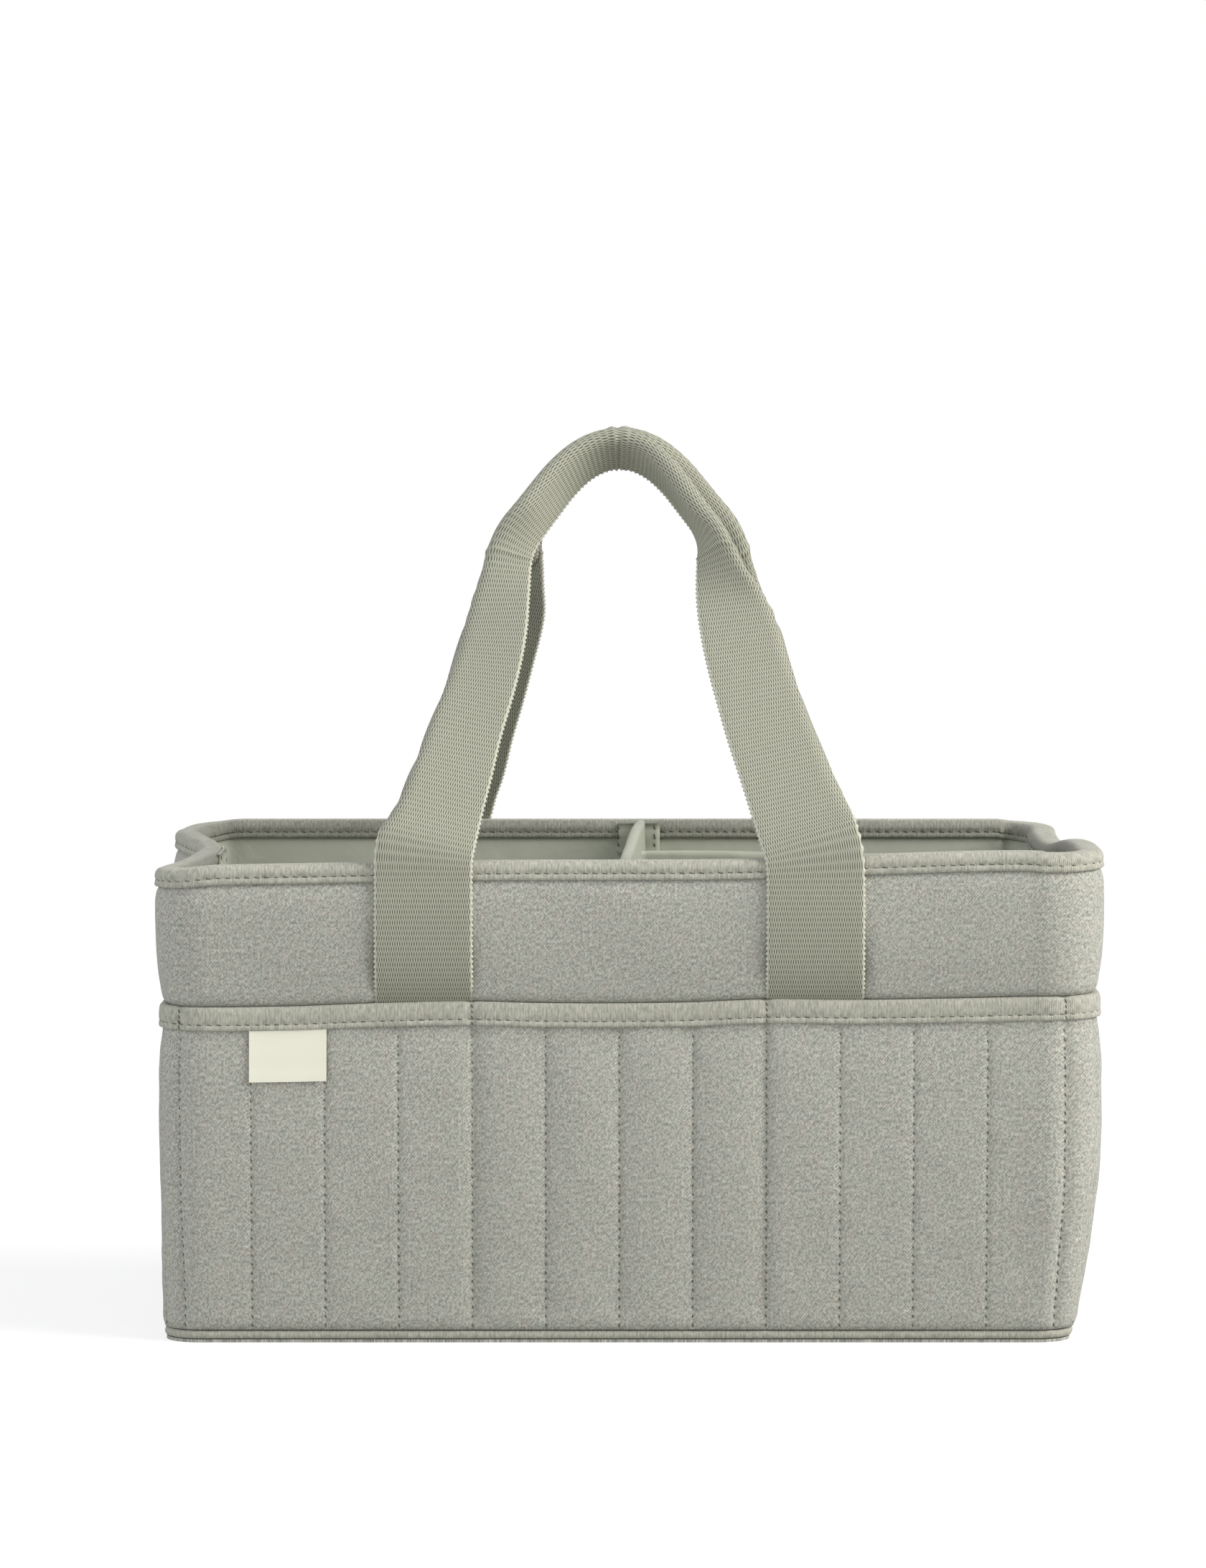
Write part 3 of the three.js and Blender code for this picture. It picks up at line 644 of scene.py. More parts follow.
lining_cloth = filament_taffeta("sage_polyester_taffeta", "#bec2b3", "#aeb2a2")
divider_cloth = filament_taffeta("pale_polyester_taffeta", "#adb0a1", "#9ca090")
print("Made", lining_cloth.name, "and", divider_cloth.name)

# %% [markdown]
# ## Webbing
#
# The handles are woven polyester tape. Its floats lie in rows across the tape, 2.1 mm tall, and
# stand 0.95 mm apart with a slit between them, painted dark as the shade in the gap. Each row is
# shifted by half a float, which makes the zigzag of such tape. So the slits are a wave across the
# tape whose phase steps by half a turn from row to row, and each slit closes at the ends of its row.
# Each float is also painted paler on its crown than on its flanks, as a highlight.


# %% Webbing
tape_width = 38.6
float_width = 0.95
float_length = 2.1


def woven_tape(name, pale, middle_tone, slit_shade_colour, selvedge):
    made, tree, shader, cloth = cloth_material(name, 0.72, 0.12)
    parts = add(tree, "ShaderNodeSeparateXYZ", {0: cloth}).outputs
    rows = maths(tree, "DIVIDE", parts["Y"], float_length)
    shift = maths(tree, "MULTIPLY", maths(tree, "FLOOR", rows), math.pi)
    wave = maths(tree, "SINE", maths(tree, "MULTIPLY_ADD", parts["X"], 2 * math.pi / float_width, shift))
    open_at = maths(tree, "SINE", maths(tree, "MULTIPLY", maths(tree, "FRACT", rows), math.pi))
    slit_depth_and_shade = maths(tree, "MULTIPLY", remap(tree, wave, -0.1, -0.9), open_at)
    crown = remap(tree, wave, -0.2, 1)
    # Painted light: the slits take the dark colour as shade, and the crowns the pale colour as highlight
    floats_with_painted_light = mixed(tree, slit_depth_and_shade, mixed(tree, crown, middle_tone, pale), slit_shade_colour)
    uneven = remap(tree, noise(tree, cloth, 0.5, 4, 0.7), 0.25, 0.75, 0.93, 1.07)
    # The selvedge, where the weft turns back, is paler
    from_middle = maths(tree, "ABSOLUTE", parts["X"])
    at_edge = remap(tree, from_middle, tape_width / 2 - 0.9, tape_width / 2 - 0.5)
    colour_it(tree, shader, mixed(tree, at_edge, floats_with_painted_light, selvedge), uneven)
    emboss(tree, shader, maths(tree, "SUBTRACT", crown, slit_depth_and_shade), 0.5, 0.2)
    return made


# The first two colours are the floats' painted highlight and flank; the third is painted shade in the slits
webbing = woven_tape("woven_polyester_tape", "#b3b3a3", "#939484", "#434739", "#c2c2b2")
print("Made", webbing.name)

# %% [markdown]
# ## Label and boards
#
# The label is a tight damask of cream yarn, left bare. The boards are grey chipboard, and are hidden
# in the walls. The last step says which cloth each slot is shown in. The loop tape is cased in
# lining cloth, so its slot is shown in that.


# %% Small materials
def noisy_cloth(name, colour, spread, scale, roughness, depth):
    made, tree, shader, cloth = cloth_material(name, roughness)
    grain = noise(tree, cloth, scale, 4, 0.7)
    colour_it(tree, shader, linear(colour)[:3], remap(tree, grain, 0.25, 0.75, 1 - spread, 1 + spread))
    emboss(tree, shader, grain, 0.5, depth)
    return made


label_cloth = noisy_cloth("cream_damask", "#e4e3d3", 0.04, 3, 0.8, 0.08)
board = noisy_cloth("grey_chipboard", "#b8b5aa", 0.08, 1, 0.85, 0.1)
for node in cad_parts.values():
    if node.name.endswith(("_board", "_stiffener")):
        node.data.materials.clear()
        node.data.materials.append(board)
print("Made", label_cloth.name, "and", board.name)

# %% Cloths of the slots
cloths = {"heather_cloth": heather, "binding_cloth": binding_cloth, "lining_cloth": lining_cloth,
          "divider_cloth": divider_cloth, "webbing": webbing, "loop_tape": lining_cloth,
          "label_cloth": label_cloth, "board": board}
print(len(cloths), "slots")

# %% [markdown]
# ## Base
#
# The base cloth closes the box from below, and a narrow folded trim covers the seam where it meets
# the walls. The trim is set in a little under the pockets, which is why the caddy seems to stand
# on a thin dark line.

# %% Base cloth and trim
base_places = places_round(360)
base_thickness = 1.2
base_points = on_wall(base_places[None, :], -2.0, np.array([[0.0], [base_thickness]]))
base = bpy.data.meshes.new("base_cloth")
count = len(base_places)
base_edge = [[i, (i + 1) % count, count + (i + 1) % count, count + i] for i in range(count)]
base_faces = base_edge + [list(range(count))[::-1], list(range(count, 2 * count))]
base.from_pydata((base_points.reshape(-1, 3) * MILLIMETRE).tolist(), [], base_faces)
base_map = base.uv_layers.new(name="cloth").data
for loop in base.loops:
    x, y, _ = base.vertices[loop.vertex_index].co
    base_map[loop.index].uv = (x / MILLIMETRE, y / MILLIMETRE)
place("base_cloth", base, "heather_cloth", ["base_cover"])

trim_section = [(-2.4, 1.5), (-1.7, 1.7), (-1.2, 2.4), (-1, 3.2), (-1.2, 4.2), (-1.8, 4.8), (-2.6, 4.9),
                (-3.1, 4.4), (-3.1, 2)]
ring("base_trim", base_places, even(trim_section), "binding_cloth", ["base_piping"])

# %% [markdown]
# ## Padded wall cover
#
# The cover is cloth over foam. It swells above the pockets, is drawn in where the rim binding holds
# it, and dips behind the pockets where the straps and things go in. A few slow waves keep it from
# looking like a moulding.

# %% Cover
cover_heights = [1.5, 5.3, 32, 60, 97, 115, 128, 135.6, 136.8, 138, 140, 145, 152, 160, 168, 175, 180,
                 183.5, 185, 187, 190]
cover_offsets = [-3.4, -3.3, -2, -0.2, -0.2, -0.6, -0.2, 0.9, 2.9, 4.1, 4.8, 5.7, 6.8, 7.7, 8.2, 8.4, 8.1,
                 7.2, 6.4, 6.4, 6]


def under_strap(around):
    """1 where a strap lies on the wall, 0 beside it."""
    reach_out = np.minimum(np.abs(around), half_round - np.abs(around))
    return 1 - ease(np.abs(reach_out - 78), 15, 23)


def cover_out(around, height):
    swell = through(height, cover_heights, cover_offsets)
    free = ease(height, 142, 152) * (1 - ease(height, 176, 184))
    pressed = under_strap(around) * ease(height, 134, 137) * (1 - ease(height, 146, 172))
    return swell + drift(around, height, 4, 0.45, 52) * free - 3.4 * pressed


cover_columns = places_round(520)
outer_rows = np.concatenate([np.linspace(1.5, 134, 20), np.linspace(136, 190, 38)])
outer_face = cover_out(cover_columns[None, :], outer_rows[:, None])
inner_rows = np.concatenate([[190.9, 190.9], np.linspace(186, 1.5, 24)])
inner_out = np.interp(inner_rows, [1.5, 50, 100, 150, 190.9], [-10.1, -7, -4, -0.9, 1.6])
inner_out[0] = 5
cover = ring("padded_cover", cover_columns, two_faces(outer_face, outer_rows, inner_out, inner_rows),
             "heather_cloth", ["outer_cover"])

# %% [markdown]
# ## Quilted pocket band
#
# The band is two layers of cloth with wadding between, sewn together in upright channels. A sewn
# channel is a cushion in section: full in the middle, steep beside the seam, and pulled into small
# puckers by every stitch. The middle pocket is quilted fullest. Four seams go through to the wall
# and make the pockets, and they run up over the binding.

# %% Quilting plan
front_pitch = 29.1
side_pitch = 31.13
side_middle = stops[1] + corner_arc + flat_y
front_seams = np.arange(7) * front_pitch
side_seams = side_middle + np.arange(-3, 4) * side_pitch
back_seams = half_round - front_seams[::-1]
half_seams = np.concatenate([front_seams, side_seams, back_seams])
seams = np.concatenate([-half_seams[:0:-1], half_seams[:-1]])
pocket_seams = np.array([2 * front_pitch, 6 * front_pitch, side_middle])
pocket_seams = np.concatenate([pocket_seams, half_round - pocket_seams[:2]])
pocket_seams = np.concatenate([-pocket_seams[::-1], pocket_seams])
print(len(seams), "quilting seams, of which", len(pocket_seams), "close a pocket")


def nearest(around, places):
    """Distance to the nearest place, going round the caddy."""
    wrapped = np.concatenate([places - 2 * half_round, places, places + 2 * half_round])
    wrapped.sort()
    right = np.clip(np.searchsorted(wrapped, around), 1, len(wrapped) - 1)
    return np.minimum(around - wrapped[right - 1], wrapped[right] - around)


def channel_fullness(around):
    """How full the channels are: most in the middle pocket of the front and of the back."""
    front = 1 - ease(np.abs(around), 56, 60)
    back = 1 - ease(half_round - np.abs(around), 56, 60)
    side = ease(np.abs(around), 176, 190) * ease(half_round - np.abs(around), 176, 190)
    return 0.45 + 1.45 * np.maximum(front, back) + 1 * side


band_heights = [5.3, 8, 14, 32, 61, 97, 115, 126, 135.4]
band_offsets = [-0.9, 0.2, 1, 2.7, 5.2, 6.4, 6, 4.9, 4.4]


def band_out(around, height):
    """Outer face of the quilted band."""
    wrapped = np.concatenate([seams, [seams[0] + 2 * half_round]])
    at = np.where(around < wrapped[0], around + 2 * half_round, around)
    low = np.clip(np.searchsorted(wrapped, at, side="right") - 1, 0, len(wrapped) - 2)
    width = wrapped[low + 1] - wrapped[low]
    share = (at - wrapped[low]) / width
    away = nearest(around, seams)
    deep = np.exp(-((nearest(around, pocket_seams) / 3) ** 2))
    sewn = ease(height, 4, 16) * (1 - 0.55 * ease(height, 112, 128))
    crown = 1 - np.abs(2 * share - 1) ** 2.2
    sink = channel_fullness(around) * (1 - crown) * sewn * np.minimum(width / front_pitch, 1)
    groove = 0.5 * np.exp(-((away / 1.1) ** 2)) + 0.9 * deep
    pucker = 0.22 * np.cos(2 * math.pi * height / quilt_pitch) * np.exp(-((away / 2.4) ** 2))
    soft = drift(around, height, 11, 0.28, 34) + drift(around, height, 12, 0.12, 13)
    body = through(height, band_heights, band_offsets)
    return body - sink - (groove + pucker) * ease(height, 3, 10) + soft * ease(height, 6, 30)


# %% Band mesh
near_seam = np.array([0, 0.45, 1, 1.7, 2.7, 4.2, 6.4, 9.4])
band_columns = []
for start, end in zip(seams, np.append(seams[1:], seams[0] + 2 * half_round)):
    reach_in = near_seam[near_seam < (end - start) / 2 - 0.8]
    band_columns += [start + reach_in, [(start + end) / 2], end - reach_in[:0:-1]]
band_columns = np.concatenate(band_columns)
row_count = 2 * round((band_top - band_foot) / quilt_pitch)
band_rows = np.linspace(band_foot, band_top, row_count + 1)
band_face = band_out(band_columns[None, :], band_rows[:, None])
back_rows = np.array([135.2, 126, 97, 61, 32, 14, 5.6])
back_out = np.array([2.1, 2.1, 2.4, 1.6, -0.9, -2.6, -3])
band = ring("quilted_band", band_columns, two_faces(band_face, band_rows, back_out, back_rows),
            "heather_cloth", [side + "_pocket_panel" for side in ("front", "back", "left", "right")])

# %% Quilting stitches
quilt_heights = np.arange(band_foot + quilt_pitch / 2, band_top - pocket_tape - 0.5, quilt_pitch)
seam_up("quilting_stitches", seams, quilt_heights, lambda a, h: band_out(a, h) + 0.2, length=2.2,
        thickness=0.55, slant=14)

# %% [markdown]
# ## Pocket binding
#
# A folded tape closes the top edge of the band and is topstitched 2.4 mm above its lower edge. The
# stitches pull a groove, so the lip under it stands out and catches the light, with a dark line of
# shadow below. At each pocket seam the binding is sewn down and pinched.

# %% Binding sections
tape_places = places_round(1180)
pocket_foot = band_top + 1 - pocket_tape
pocket_groove = pocket_foot + 2.4
rim_foot = rim_height - rim_tape
rim_groove = rim_foot + 2.7


def pinched(around):
    """How far the pocket seams pull the pocket binding in."""
    return 1.1 * np.exp(-((nearest(around, pocket_seams) / 2.2) ** 2))


def puckered(section, foot, groove, seed, pinch=0):
    """A binding's section, with heights from its foot. At every stitch the points near the groove
    are pulled in and the lip under it swells."""
    offset, rise = even(section)
    height = foot + rise
    wave = np.cos(2 * math.pi * tape_places / stitch_pitch)[None, :]
    near = np.exp(-(((height - groove) / 1.1) ** 2))
    lip = np.exp(-(((height - groove + 1.7) / 0.9) ** 2))
    sign = np.where(offset > offset.mean(), 1.0, -1.0)
    uneven = drift(tape_places[None, :], height * 3, seed, 0.09, 9)
    return offset - sign * (0.14 * wave * near - 0.08 * wave * lip - uneven + pinch), height


pocket_section = [
    (5.2, 0), (5.75, 0.15), (6.05, 0.8), (6.05, 1.5), (5.75, 2.1), (5.45, 2.4), (5.65, 2.9), (5.95, 3.8),
    (6, 5.2), (5.95, 6.8), (5.75, 8), (5.35, 8.9), (4.7, 9.35), (3.6, 9.45), (2.4, 9.35), (1.6, 8.9),
    (1.3, 8), (1.2, 4), (1.3, 0.4), (1.9, 0), (2, 4), (2.1, 8.3), (4.8, 8.3), (5, 4),
]
ring("pocket_binding_tape", tape_places,
     puckered(pocket_section, pocket_foot, pocket_groove, 21, pinched(tape_places)),
     "binding_cloth", ["pocket_binding"])
seam_round("pocket_topstitch", lambda a: 5.62 - pinched(a), pocket_groove, length=2.7, slant=-13)
seam_up("pocket_seam_stitches", pocket_seams, np.arange(pocket_foot + 1, pocket_foot + 9.5, 2.2),
        lambda a, h: 5.05, length=1.9, thickness=0.6, slant=20)

# %% [markdown]
# ## Rim binding
#
# The same tape goes over the padded top edge, wide enough to show 7.6 mm on each side, and one row
# of stitches goes through from the outside to the lining. Its top is softly rounded by the foam
# under it.

# %% Rim binding
inner_lean = 11.4 / 186.8  # of the lining, per unit of height


def lining_in(height):
    return (height - 3.8) * inner_lean - 13.6


inside = lining_in(rim_foot) - 1.3
outer_part = [
    (7, 0), (7.75, 0.15), (8.15, 0.8), (8.15, 1.6), (7.8, 2.3), (7.5, 2.7), (7.7, 3.2), (8, 4), (7.95, 5),
    (7.5, 6.1), (6.6, 7), (5.2, 7.5), (3.2, 7.7), (1, 7.7), (-1, 7.45), (-2.3, 6.9), (-3.1, 6),
]
lining_part = [(-0.05, 4.8), (-0.1, 3.6), (0.25, 2.7), (-0.1, 1.9), (-0.3, 1.2), (-0.2, 0.3), (0.5, 0),
               (1, 0.5)]
hidden_part = [(-1.6, 6), (0, 6.6), (5, 6.6), (6.7, 5.5), (6.9, 2)]
rim_section = outer_part + [(inside + offset, rise) for offset, rise in lining_part] + hidden_part
ring("rim_binding_tape", tape_places, puckered(rim_section, rim_foot, rim_groove, 31), "binding_cloth",
     ["rim_binding"])
seam_round("rim_topstitch", lambda a: 7.68, rim_groove, length=2.8, slant=-13)
seam_round("rim_inner_stitch", lambda a: inside + 0.05, rim_groove, outward=-1, length=2.8, slant=-13)

# %% [markdown]
# ## Lining
#
# The lining is a tub of smooth cloth that hangs from the rim and lies over the floor board. It is
# a little too large for the box, so it is not flat: soft upright ripples run down from the rim.

# %% Lining tub
lining_columns = places_round(480)
floor_top, floor_under = 4.8, 3.8
outside_rows = np.linspace(floor_under, 189.8, 18)
inside_rows = np.concatenate([[190.2], np.linspace(189.6, 12, 46), [7, 5.2]])
lining_height = np.concatenate([outside_rows, inside_rows])[:, None]
is_outside = np.arange(len(lining_height))[:, None] < len(outside_rows)
hang = ease(lining_height, 8, 60) * (1 - ease(lining_height, 176, 186))
ripple = 0.5 * drift(lining_columns[None, :], lining_height * 0.25, 41, 1, 30)
ripple = ripple + 0.4 * drift(lining_columns[None, :], lining_height, 42, 1, 60)
lining_thickness = 1
moved_out = np.where(is_outside, lining_thickness, np.abs(ripple) * hang * -0.5)
lining_offset = lining_in(lining_height) + moved_out
wall_points = on_wall(lining_columns[None, :], lining_offset, lining_height, 0)
spine = wall_points[-1] * [1, 0, 1]  # the line along the middle of the floor where its two halves meet
spine[:, 0] = np.clip(spine[:, 0], -70, 70)


def across_floor(edge, shares, height):
    """Rows of the floor, at these shares of the way from the edge to the spine."""
    points = edge * (1 - shares)[:, None, None] + spine * shares[:, None, None]
    points[..., 2] = height
    return points


shares = np.array([0.02, 0.06, 0.15, 0.35, 0.6, 0.85, 0.985])
floor_height = floor_top + 0.25 * np.sin(shares * math.pi)[:, None]
floor_points = across_floor(wall_points[-1], shares, floor_height)
under_points = across_floor(wall_points[0], np.array([0.985, 0.5, 0.02]), floor_under)
round_piece("lining_tub", lining_columns, np.concatenate([wall_points, floor_points, under_points]),
            "lining_cloth", ["lining"])

# %% [markdown]
# ## Side boards
#
# The side walls are creased a little inwards at the top, so their boards bend with them. Each is a
# thin sheet between the lining and the padding.


# %% Bent boards
def wall_patch(name, middle_at, across, heights, faces, padding):
    """The mesh of a flat piece on the wall, from the offsets of its two faces."""
    front, back = (on_wall(middle_at + across[:, None], offset, heights, padding) for offset in faces)
    points = np.concatenate([front, back[::-1]])
    along = heights + np.zeros((len(points) + 1, 1))
    both_ways = np.concatenate([across, across[::-1], across[:1]])
    return grid_mesh(name, points, both_ways[:, None] + 0 * along, along)


def wall_sheet(name, middle_at, width, foot, top, inner, thickness, slot, stands_for, body="shell",
               bulge=0, rows=26):
    """A flat strip on the lining. Inner is its inner face, as a function of height."""
    shares = np.linspace(-1, 1, 14)
    heights = np.linspace(foot, top, rows)
    round_off = (1 - np.abs(shares) ** 6)[:, None]
    faces = (inner(heights) - bulge * round_off, inner(heights) + thickness)
    mesh = wall_patch(name, middle_at, shares * width / 2, heights, faces, padding=0)
    return place(name, mesh, slot, stands_for, body)


board_thickness = 1.6
board_foot, board_top = 4.1, 184.5
for name, middle_at in (("left_board", -side_middle), ("right_board", side_middle)):
    wall_sheet(name + "_bent", middle_at, 2 * flat_y, board_foot, board_top,
               lambda h: lining_in(h) + 1.25, board_thickness, "board", [name])

# %% [markdown]
# ## Label
#
# A small woven tag, cream and bare, caught under the pocket binding. It hangs over two channels of
# the quilting and its lower edge stands off a little.

# %% Label
label_middle = -4.5 * front_pitch
label_width = 30.6
label_drop = 20.6  # below the foot of the pocket binding
near_edge = 0.25  # where the first row of points inside each edge is
label_across = np.linspace(-label_width / 2 + near_edge, label_width / 2 - near_edge, 18)
label_across = np.concatenate([[-label_width / 2], label_across, [label_width / 2]])
label_heights = np.linspace(pocket_foot - label_drop + near_edge, pocket_foot + 1.2, 14)
label_heights = np.append(pocket_foot - label_drop, label_heights)
lift_off = 0.55 + 0.5 * (1 - ease(label_heights, label_heights[0], label_heights[0] + 7))
label_thickness = 0.45
label_out = through(label_heights, band_heights, band_offsets) + lift_off
curl = 0.25 * np.abs(label_across / label_width * 2)[:, None] ** 4
label_mesh = wall_patch("cream_label", label_middle, label_across, label_heights,
                        (label_out + curl, label_out - label_thickness + curl), padding=1)
label = place("cream_label", label_mesh, "label_cloth", ["label"])

# %% [markdown]
# ## Straps
#
# Each handle is one length of webbing. It comes out of a pocket, climbs the wall, leans in over the
# rim, and is folded lengthwise and sewn to make a round grip at the top. The strap is swept along
# a smooth path. At each step its section is the tape, folded about its middle by more or less, so
# flat leg and folded grip are one mesh, and the weave runs on through the fold.

# %% Strap path
tape_thickness = 1.8
rim_stand = base_depth / 2 + 8 + sewn_gap + tape_thickness / 2
grip_stand = 3.6  # of the lower edge of a grip, from the middle of the caddy
hinge_height = rim_height - 4.2
loop_height = 155.9  # from the hinge line to the lower edge of the grip
edge_reach = 58  # from the middle of the caddy to the inner edge of a leg, at the rim

# Up the wall, from inside the pocket to the hinge line: offset of the tape's middle, and height
tail_path = [(-0.1, 121), (-0.1, 130), (0.1, 134.5), (1.2, 137.2), (3.4, 140.2), (5.9, 145), (7.9, 152),
             (9, 160), (9.6, 168), (9.8, 176), (9.5, 182), (9.2, 185.4)]
# Below the grip the tape stays folded, but the fold wanders out to the edge, so that a narrowing
# flap lies behind the leg. Each row holds how far out the inner edge is, how high and how far in
# over the caddy, as shares. Then come how much the tape is folded, where the fold lies (0 in the
# middle of the tape, 1 at its outer edge) and the roll of the tape about its own length in
# degrees, where more than zero turns its face to the inside of the loop.
left_leg = [
    (1, 0, 0, 0, 1, 0),
    (1, 0.029, 0.002, 0.1, 1, 0),
    (0.99, 0.045, 0.012, 0.3, 0.95, 0),
    (0.975, 0.07, 0.035, 0.5, 0.88, 0),
    (0.936, 0.135, 0.1, 0.85, 0.76, 0),
    (0.876, 0.222, 0.18, 1, 0.68, -3),
    (0.805, 0.334, 0.29, 1, 0.57, -8),
    (0.733, 0.423, 0.38, 1, 0.52, -12),
    (0.66, 0.538, 0.5, 1, 0.46, -17),
    (0.635, 0.6, 0.565, 1, 0.42, -18),
    (0.625, 0.66, 0.63, 1, 0.31, -15),
    (0.617, 0.716, 0.69, 1, 0.15, -8),
    (0.61, 0.762, 0.742, 1, 0.02, 4),
    (0.572, 0.8, 0.785, 1, 0, 26),
    (0.52, 0.829, 0.815, 1, 0, 40),
    (0.42, 0.879, 0.87, 1, 0, 46),
    (0.298, 0.937, 0.935, 1, 0, 52),
    (0.155, 0.982, 0.983, 1, 0, 58),
    (0, 1, 1, 1, 0, 64),
]
right_leg = [
    (1, 0, 0, 0, 1, 0),
    (0.995, 0.025, 0.002, 0, 1, 0),
    (0.967, 0.055, 0.025, 0.2, 1, 0),
    (0.93, 0.1, 0.07, 0.5, 0.96, -3),
    (0.874, 0.169, 0.13, 0.8, 0.92, -7),
    (0.807, 0.247, 0.205, 0.95, 0.88, -10),
    (0.748, 0.313, 0.27, 1, 0.86, -12),
    (0.684, 0.396, 0.355, 1, 0.83, -13),
    (0.614, 0.492, 0.455, 1, 0.76, -12),
    (0.559, 0.594, 0.56, 1, 0.68, -9),
    (0.536, 0.68, 0.65, 1, 0.41, 0),
    (0.54, 0.736, 0.71, 1, 0.1, 22),
    (0.55, 0.77, 0.75, 1, 0, 46),
    (0.56, 0.8, 0.785, 1, 0, 68),
    (0.525, 0.834, 0.82, 1, 0, 80),
    (0.429, 0.892, 0.885, 1, 0, 84),
    (0.279, 0.955, 0.955, 1, 0, 80),
    (0.153, 0.986, 0.986, 1, 0, 72),
]
# The same leg of the handle at the back, which stands a little nearer the middle
back_right_leg = [
    (0.955, 0, 0, 0, 1, 0),
    (0.935, 0.025, 0.002, 0.1, 1, 0),
    (0.915, 0.055, 0.025, 0.3, 0.98, 0),
    (0.895, 0.085, 0.055, 0.6, 0.92, 0),
    (0.848, 0.133, 0.1, 0.9, 0.87, 0),
    (0.767, 0.255, 0.215, 1, 0.82, 0),
    (0.688, 0.357, 0.315, 1, 0.78, 0),
    (0.607, 0.473, 0.435, 1, 0.72, 0),
    (0.548, 0.56, 0.525, 1, 0.64, 0),
    (0.529, 0.6, 0.565, 1, 0.55, 0),
] + right_leg[10:]
crease_rise = 0.765  # the grip is sewn shut above this share of the loop's height
grip_fold = math.radians(200)
fold_zone = 10.8
step_length = float_length / 4


def strap_knots(right):
    """Points of the tape's inner edge, left to right, with the fold, its place and the roll."""
    def half(side, leg):
        foot = [(side * edge_reach * leg[0][0], -(base_depth / 2 + offset), height, 0, 1, 0)
                for offset, height in tail_path]
        loop = [
            (side * reach_share * edge_reach, -rim_stand + run * (rim_stand - grip_stand),
             hinge_height + rise * loop_height, fold, line, roll)
            for reach_share, rise, run, fold, line, roll in leg
        ]
        return foot + loop

    return np.array(half(-1, left_leg) + half(1, right)[::-1], float)


def folded_tape(fold, line, shares):
    """The tape's section at each step: points across it, and the way each one faces. The inner
    edge stays at zero. The fold is tighter where it lies nearer the edge."""
    half = tape_width / 2
    zone = (fold_zone / 2 * (1 - 0.45 * line))[:, None]
    across = shares * half
    fine_across = np.linspace(-half, half, 387)
    from_fold = fine_across[None, :] + line[:, None] * half
    turned = (zone - np.clip(from_fold, -zone, zone)) / zone / 2
    angle = fold[:, None] * grip_fold * (0.05 - turned)
    step = fine_across[1] - fine_across[0]
    sums = [np.cumsum(part(angle), axis=1) * step for part in (np.cos, np.sin)]
    x, y = (total - total[:, -1:] for total in sums)
    at = np.round((across + half) / step).astype(int)
    return x[:, at], y[:, at], angle[:, at]


def soften(values, spread):
    """Rounds off a run of values over about this many steps on each side."""
    reach_in = 3 * spread
    weights = np.exp(-0.5 * (np.arange(-reach_in, reach_in + 1) / spread) ** 2)
    weights /= weights.sum()
    ends = [2 * values[:1] - values[reach_in:0:-1], values, 2 * values[-1:] - values[-2:-reach_in - 2:-1]]
    padded = np.concatenate(ends)
    return np.stack([np.convolve(column, weights, "valid") for column in padded.T], -1)


def strap_frames(knots):
    """Path points, directions and folds at even steps along the strap."""
    chord = lengths(knots[:, :3], 0)
    distance = np.arange(0, chord[-1], step_length)
    path = soften(through(distance, chord, knots), 6)
    ahead = np.gradient(path[:, :3], axis=0)
    ahead = ahead / np.linalg.norm(ahead, axis=1, keepdims=True)
    # The loop lies in a plane that leans in over the caddy, and the wall stands upright
    lean = math.atan2(rim_stand - grip_stand, loop_height)
    lean = lean * ease(path[:, 2], hinge_height, hinge_height + 24)
    behind = np.stack([0 * lean, np.cos(lean), -np.sin(lean)], -1)
    flat_in = np.cross(behind, ahead)
    flat_in = flat_in / np.linalg.norm(flat_in, axis=1, keepdims=True)
    flat_back = np.cross(ahead, flat_in)
    roll = np.radians(path[:, 5:6])
    inward = flat_in * np.cos(roll) + flat_back * np.sin(roll)
    back = flat_back * np.cos(roll) - flat_in * np.sin(roll)
    return distance, path[:, :3], inward, back, path[:, 3], path[:, 4]


share_steps = np.array([0, 0.1, 0.2, 0.31, 0.42, 0.55, 0.7, 0.85, 0.94, 0.985, 1])
tape_shares = np.concatenate([-share_steps[:0:-1], share_steps])


